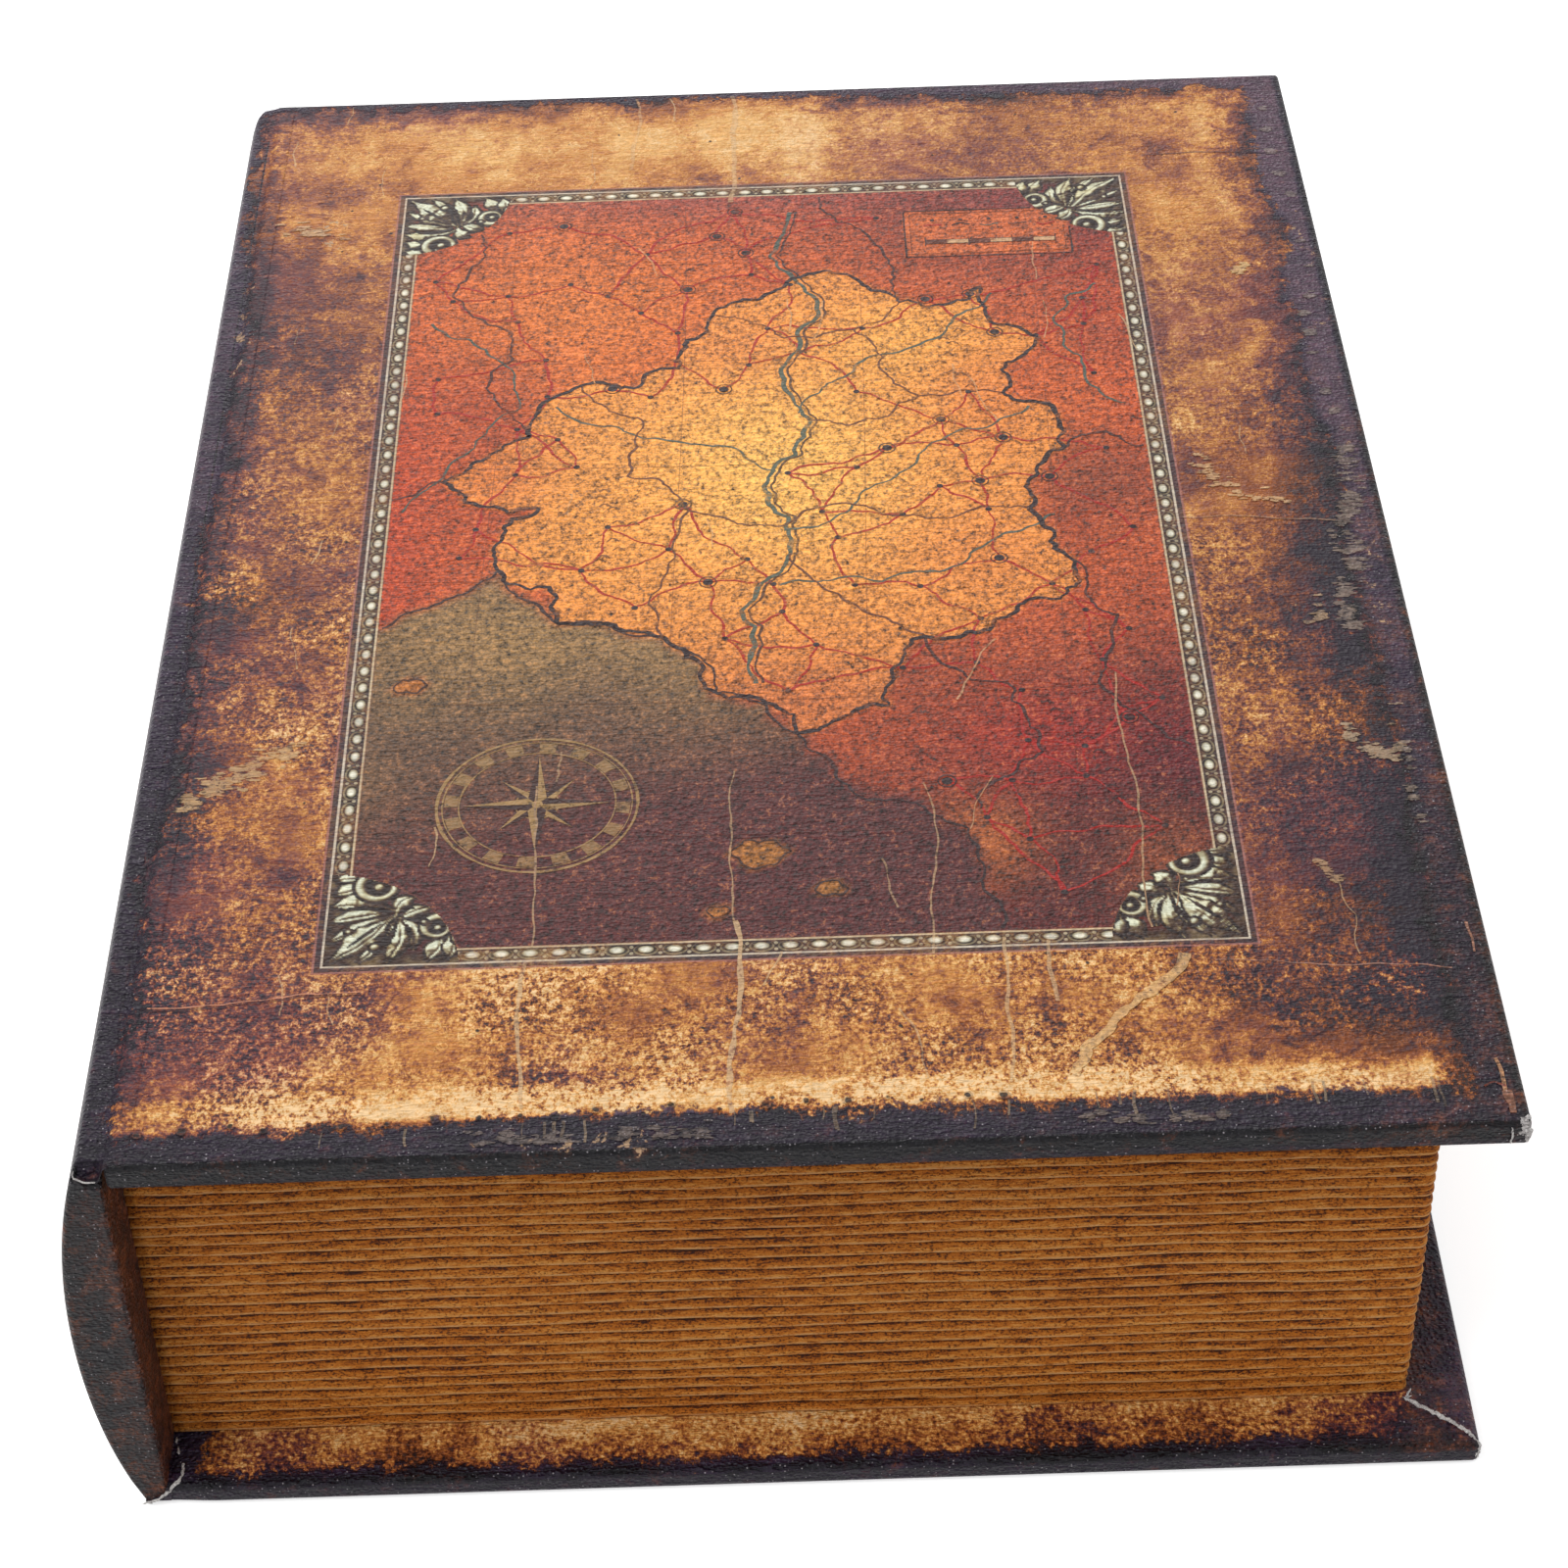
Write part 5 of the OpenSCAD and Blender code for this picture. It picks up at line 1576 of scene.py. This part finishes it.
# Page edges: thirty wavy ridges of pressed paper round three sides

stripPlan = {"ribs": 30, "startX": -89.15, "wallX": 87.35, "wallY": 123.8, "top": 66.0, "low": 0.75,
             "high": 1.65, "step": 2.0, "back": 0.02, "sway": 0.26, "ripple": 0.10, "uneven": 0.25,
             # one ridge from its groove down: a sloping face, a rounded crest near its foot, a sharp undercut
             "ridge": [(0.0, 0.0), (0.06, 0.26), (0.22, 0.50), (0.46, 0.72), (0.66, 0.90), (0.77, 1.0),
                       (0.86, 0.88), (0.94, 0.36)]}


def stripColumns():
    # places round the walls from the spine's head end to its tail end: point on the wall, outward direction
    wallX, wallY, startX, pace = (stripPlan[name] for name in ("wallX", "wallY", "startX", "step"))
    fold = np.linspace(0, math.pi / 2, 7)
    columns = [(x, -wallY, 0.0, -1.0) for x in np.arange(startX, wallX - 1, pace)]
    columns += [(wallX, -wallY, math.cos(angle), math.sin(angle)) for angle in fold - math.pi / 2]
    columns += [(wallX, y, 1.0, 0.0) for y in np.arange(-wallY + 2, wallY - 1, pace)]
    columns += [(wallX, wallY, math.cos(angle), math.sin(angle)) for angle in fold]
    columns += [(x, wallY, 0.0, 1.0) for x in [*np.arange(wallX - 2, startX, -pace), startX]]
    return np.array(columns)


def makePageStrip():
    top, bottom, count = stripPlan["top"], baseTop, stripPlan["ribs"]
    pitch = (top - bottom) / count
    down, out = np.array(stripPlan["ridge"]).T
    ribs = np.append(np.repeat(np.arange(count), len(down)), count - 1)
    levels = np.append(top - (ribs[:-1] + np.tile(down, count)) * pitch, bottom)
    crests = np.append(np.tile(out, count), 0.2)
    columns = stripColumns()
    along = lengthsAlong(columns[:, :2] + columns[:, 2:] * 0.8)
    inner = np.minimum(levels - bottom, top - levels) > 0.05
    rings, strip = [], []
    for (x, y, dx, dy), s in zip(columns, along):
        at = np.full(len(levels), s)
        sway = softNoise(at, ribs * 9.7, 34, 41, 3) * stripPlan["sway"]
        sway = sway + softNoise(at, ribs * 7.1, 7, 43, 2) * stripPlan["ripple"]
        depth = 1 + stripPlan["uneven"] * softNoise(at, ribs * 5.3 + 80, 18, 47, 3)
        out = stripPlan["low"] + (stripPlan["high"] - stripPlan["low"]) * np.clip(crests * depth, 0, 1.0)
        z = np.where(inner, levels + sway, levels)
        face = np.stack([x + dx * out, y + dy * out, z], 1)
        back = [(x + dx * stripPlan["back"], y + dy * stripPlan["back"], end) for end in (bottom, top)]
        rings.append(np.vstack([face, back]))
        strip.append(np.vstack([np.stack([at, z, crests], 1), [(s, bottom, 0), (s, top, 0)]]))
    points, faces = sweep(rings)
    piece = makePiece("pageEdges", points, faces, pageEdge, "tray", ("page_strip",))
    piece.data.attributes.new("strip", "FLOAT_VECTOR", "POINT").data.foreach_set(
        "vector", np.vstack(strip).ravel())


makePageStrip()
print("page edges made")


# Lining of the tray and of the upper cover

liningPlan = {"longSteps": 44, "shortSteps": 30, "cornerSteps": 5, "wall": 6.0, "thick": 0.5}


def roundedRing(box, inset, z, radius):
    longSteps, shortSteps = liningPlan["longSteps"], liningPlan["shortSteps"]
    cornerSteps = liningPlan["cornerSteps"]
    x0, x1, y0, y1 = box[0] + inset, box[1] - inset, box[2] + inset, box[3] - inset
    radius = max(0.02, min(radius, (x1 - x0) / 2.001, (y1 - y0) / 2.001))
    corners = [(x1 - radius, y0 + radius, -90, longSteps, (x1, y1 - radius)),
               (x1 - radius, y1 - radius, 0, shortSteps, (x0 + radius, y1)),
               (x0 + radius, y1 - radius, 90, longSteps, (x0, y0 + radius)),
               (x0 + radius, y0 + radius, 180, shortSteps, (x1 - radius, y0))]
    points = []
    for cx, cy, begin, steps, following in corners:
        for k in range(cornerSteps):
            angle = math.radians(begin + 90 * k / (cornerSteps - 1))
            points.append((cx + radius * math.cos(angle), cy + radius * math.sin(angle), z))
        last = points[-1]
        for k in range(1, steps):
            t = k / steps
            points.append((last[0] + (following[0] - last[0]) * t, last[1] + (following[1] - last[1]) * t, z))
    return points


def makeTrayLining():
    box = (spineFaceX, stripPlan["wallX"], -stripPlan["wallY"], stripPlan["wallY"])
    floorZ, rim = nodeBox("floor_lining")[1][2], nodeBox("head_lining")[1][2]
    middle = (box[1] - box[0]) / 2 - 0.002  # the rings close up along the middle of the floor
    wall, under = liningPlan["wall"], floorZ - liningPlan["thick"]
    # inset, height and corner radius: beneath the floor, up behind the wall's lining, over the rim, down again
    profile = [(middle, under, 1.0), (wall, under, 0.3), (wall, rim - 0.48, 0.3), (0.02, rim - 0.48, 0.6),
               (0.0, rim - 0.2, 0.8), (0.12, rim - 0.05, 0.8), (0.4, rim, 0.7), (3.0, rim, 0.5),
               (6.1, rim, 0.4),
               (6.4, rim - 0.1, 0.6), (6.5, rim - 0.4, 0.8), (6.52, rim - 20, 0.9), (6.52, floorZ + 20, 0.9),
               (6.5, floorZ + 1.4, 0.9), (6.75, floorZ + 0.4, 1.0), (7.6, floorZ, 1.2)]
    profile += [(7.6 + (middle - 7.6) * k / 11, floorZ, 1.2) for k in range(1, 12)]
    points, faces = sweep([roundedRing(box, d, z, r) for d, z, r in profile])
    makePiece("trayLining", points, faces, flock, "tray",
              ("head_lining", "tail_lining", "fore_edge_lining", "spine_lining", "floor_lining"))


def makeLidLining():
    low, high = nodeBox("lid_lining")
    points, faces = softSlab((low[0] + 0.2, low[1], low[2] - 0.08), (high[0], high[1], high[2] - 0.1), 0.14,
                             4.0, 2)
    makePiece("lidLining", points, faces, flock, "lid", ("lid_lining",))


makeTrayLining()
makeLidLining()

for name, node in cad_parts.items():
    if not node.hide_render:
        finish = magnetMetal if "magnet" in name else board
        for slot in node.material_slots:
            slot.material = finish
print("lining made, boards and magnets finished")
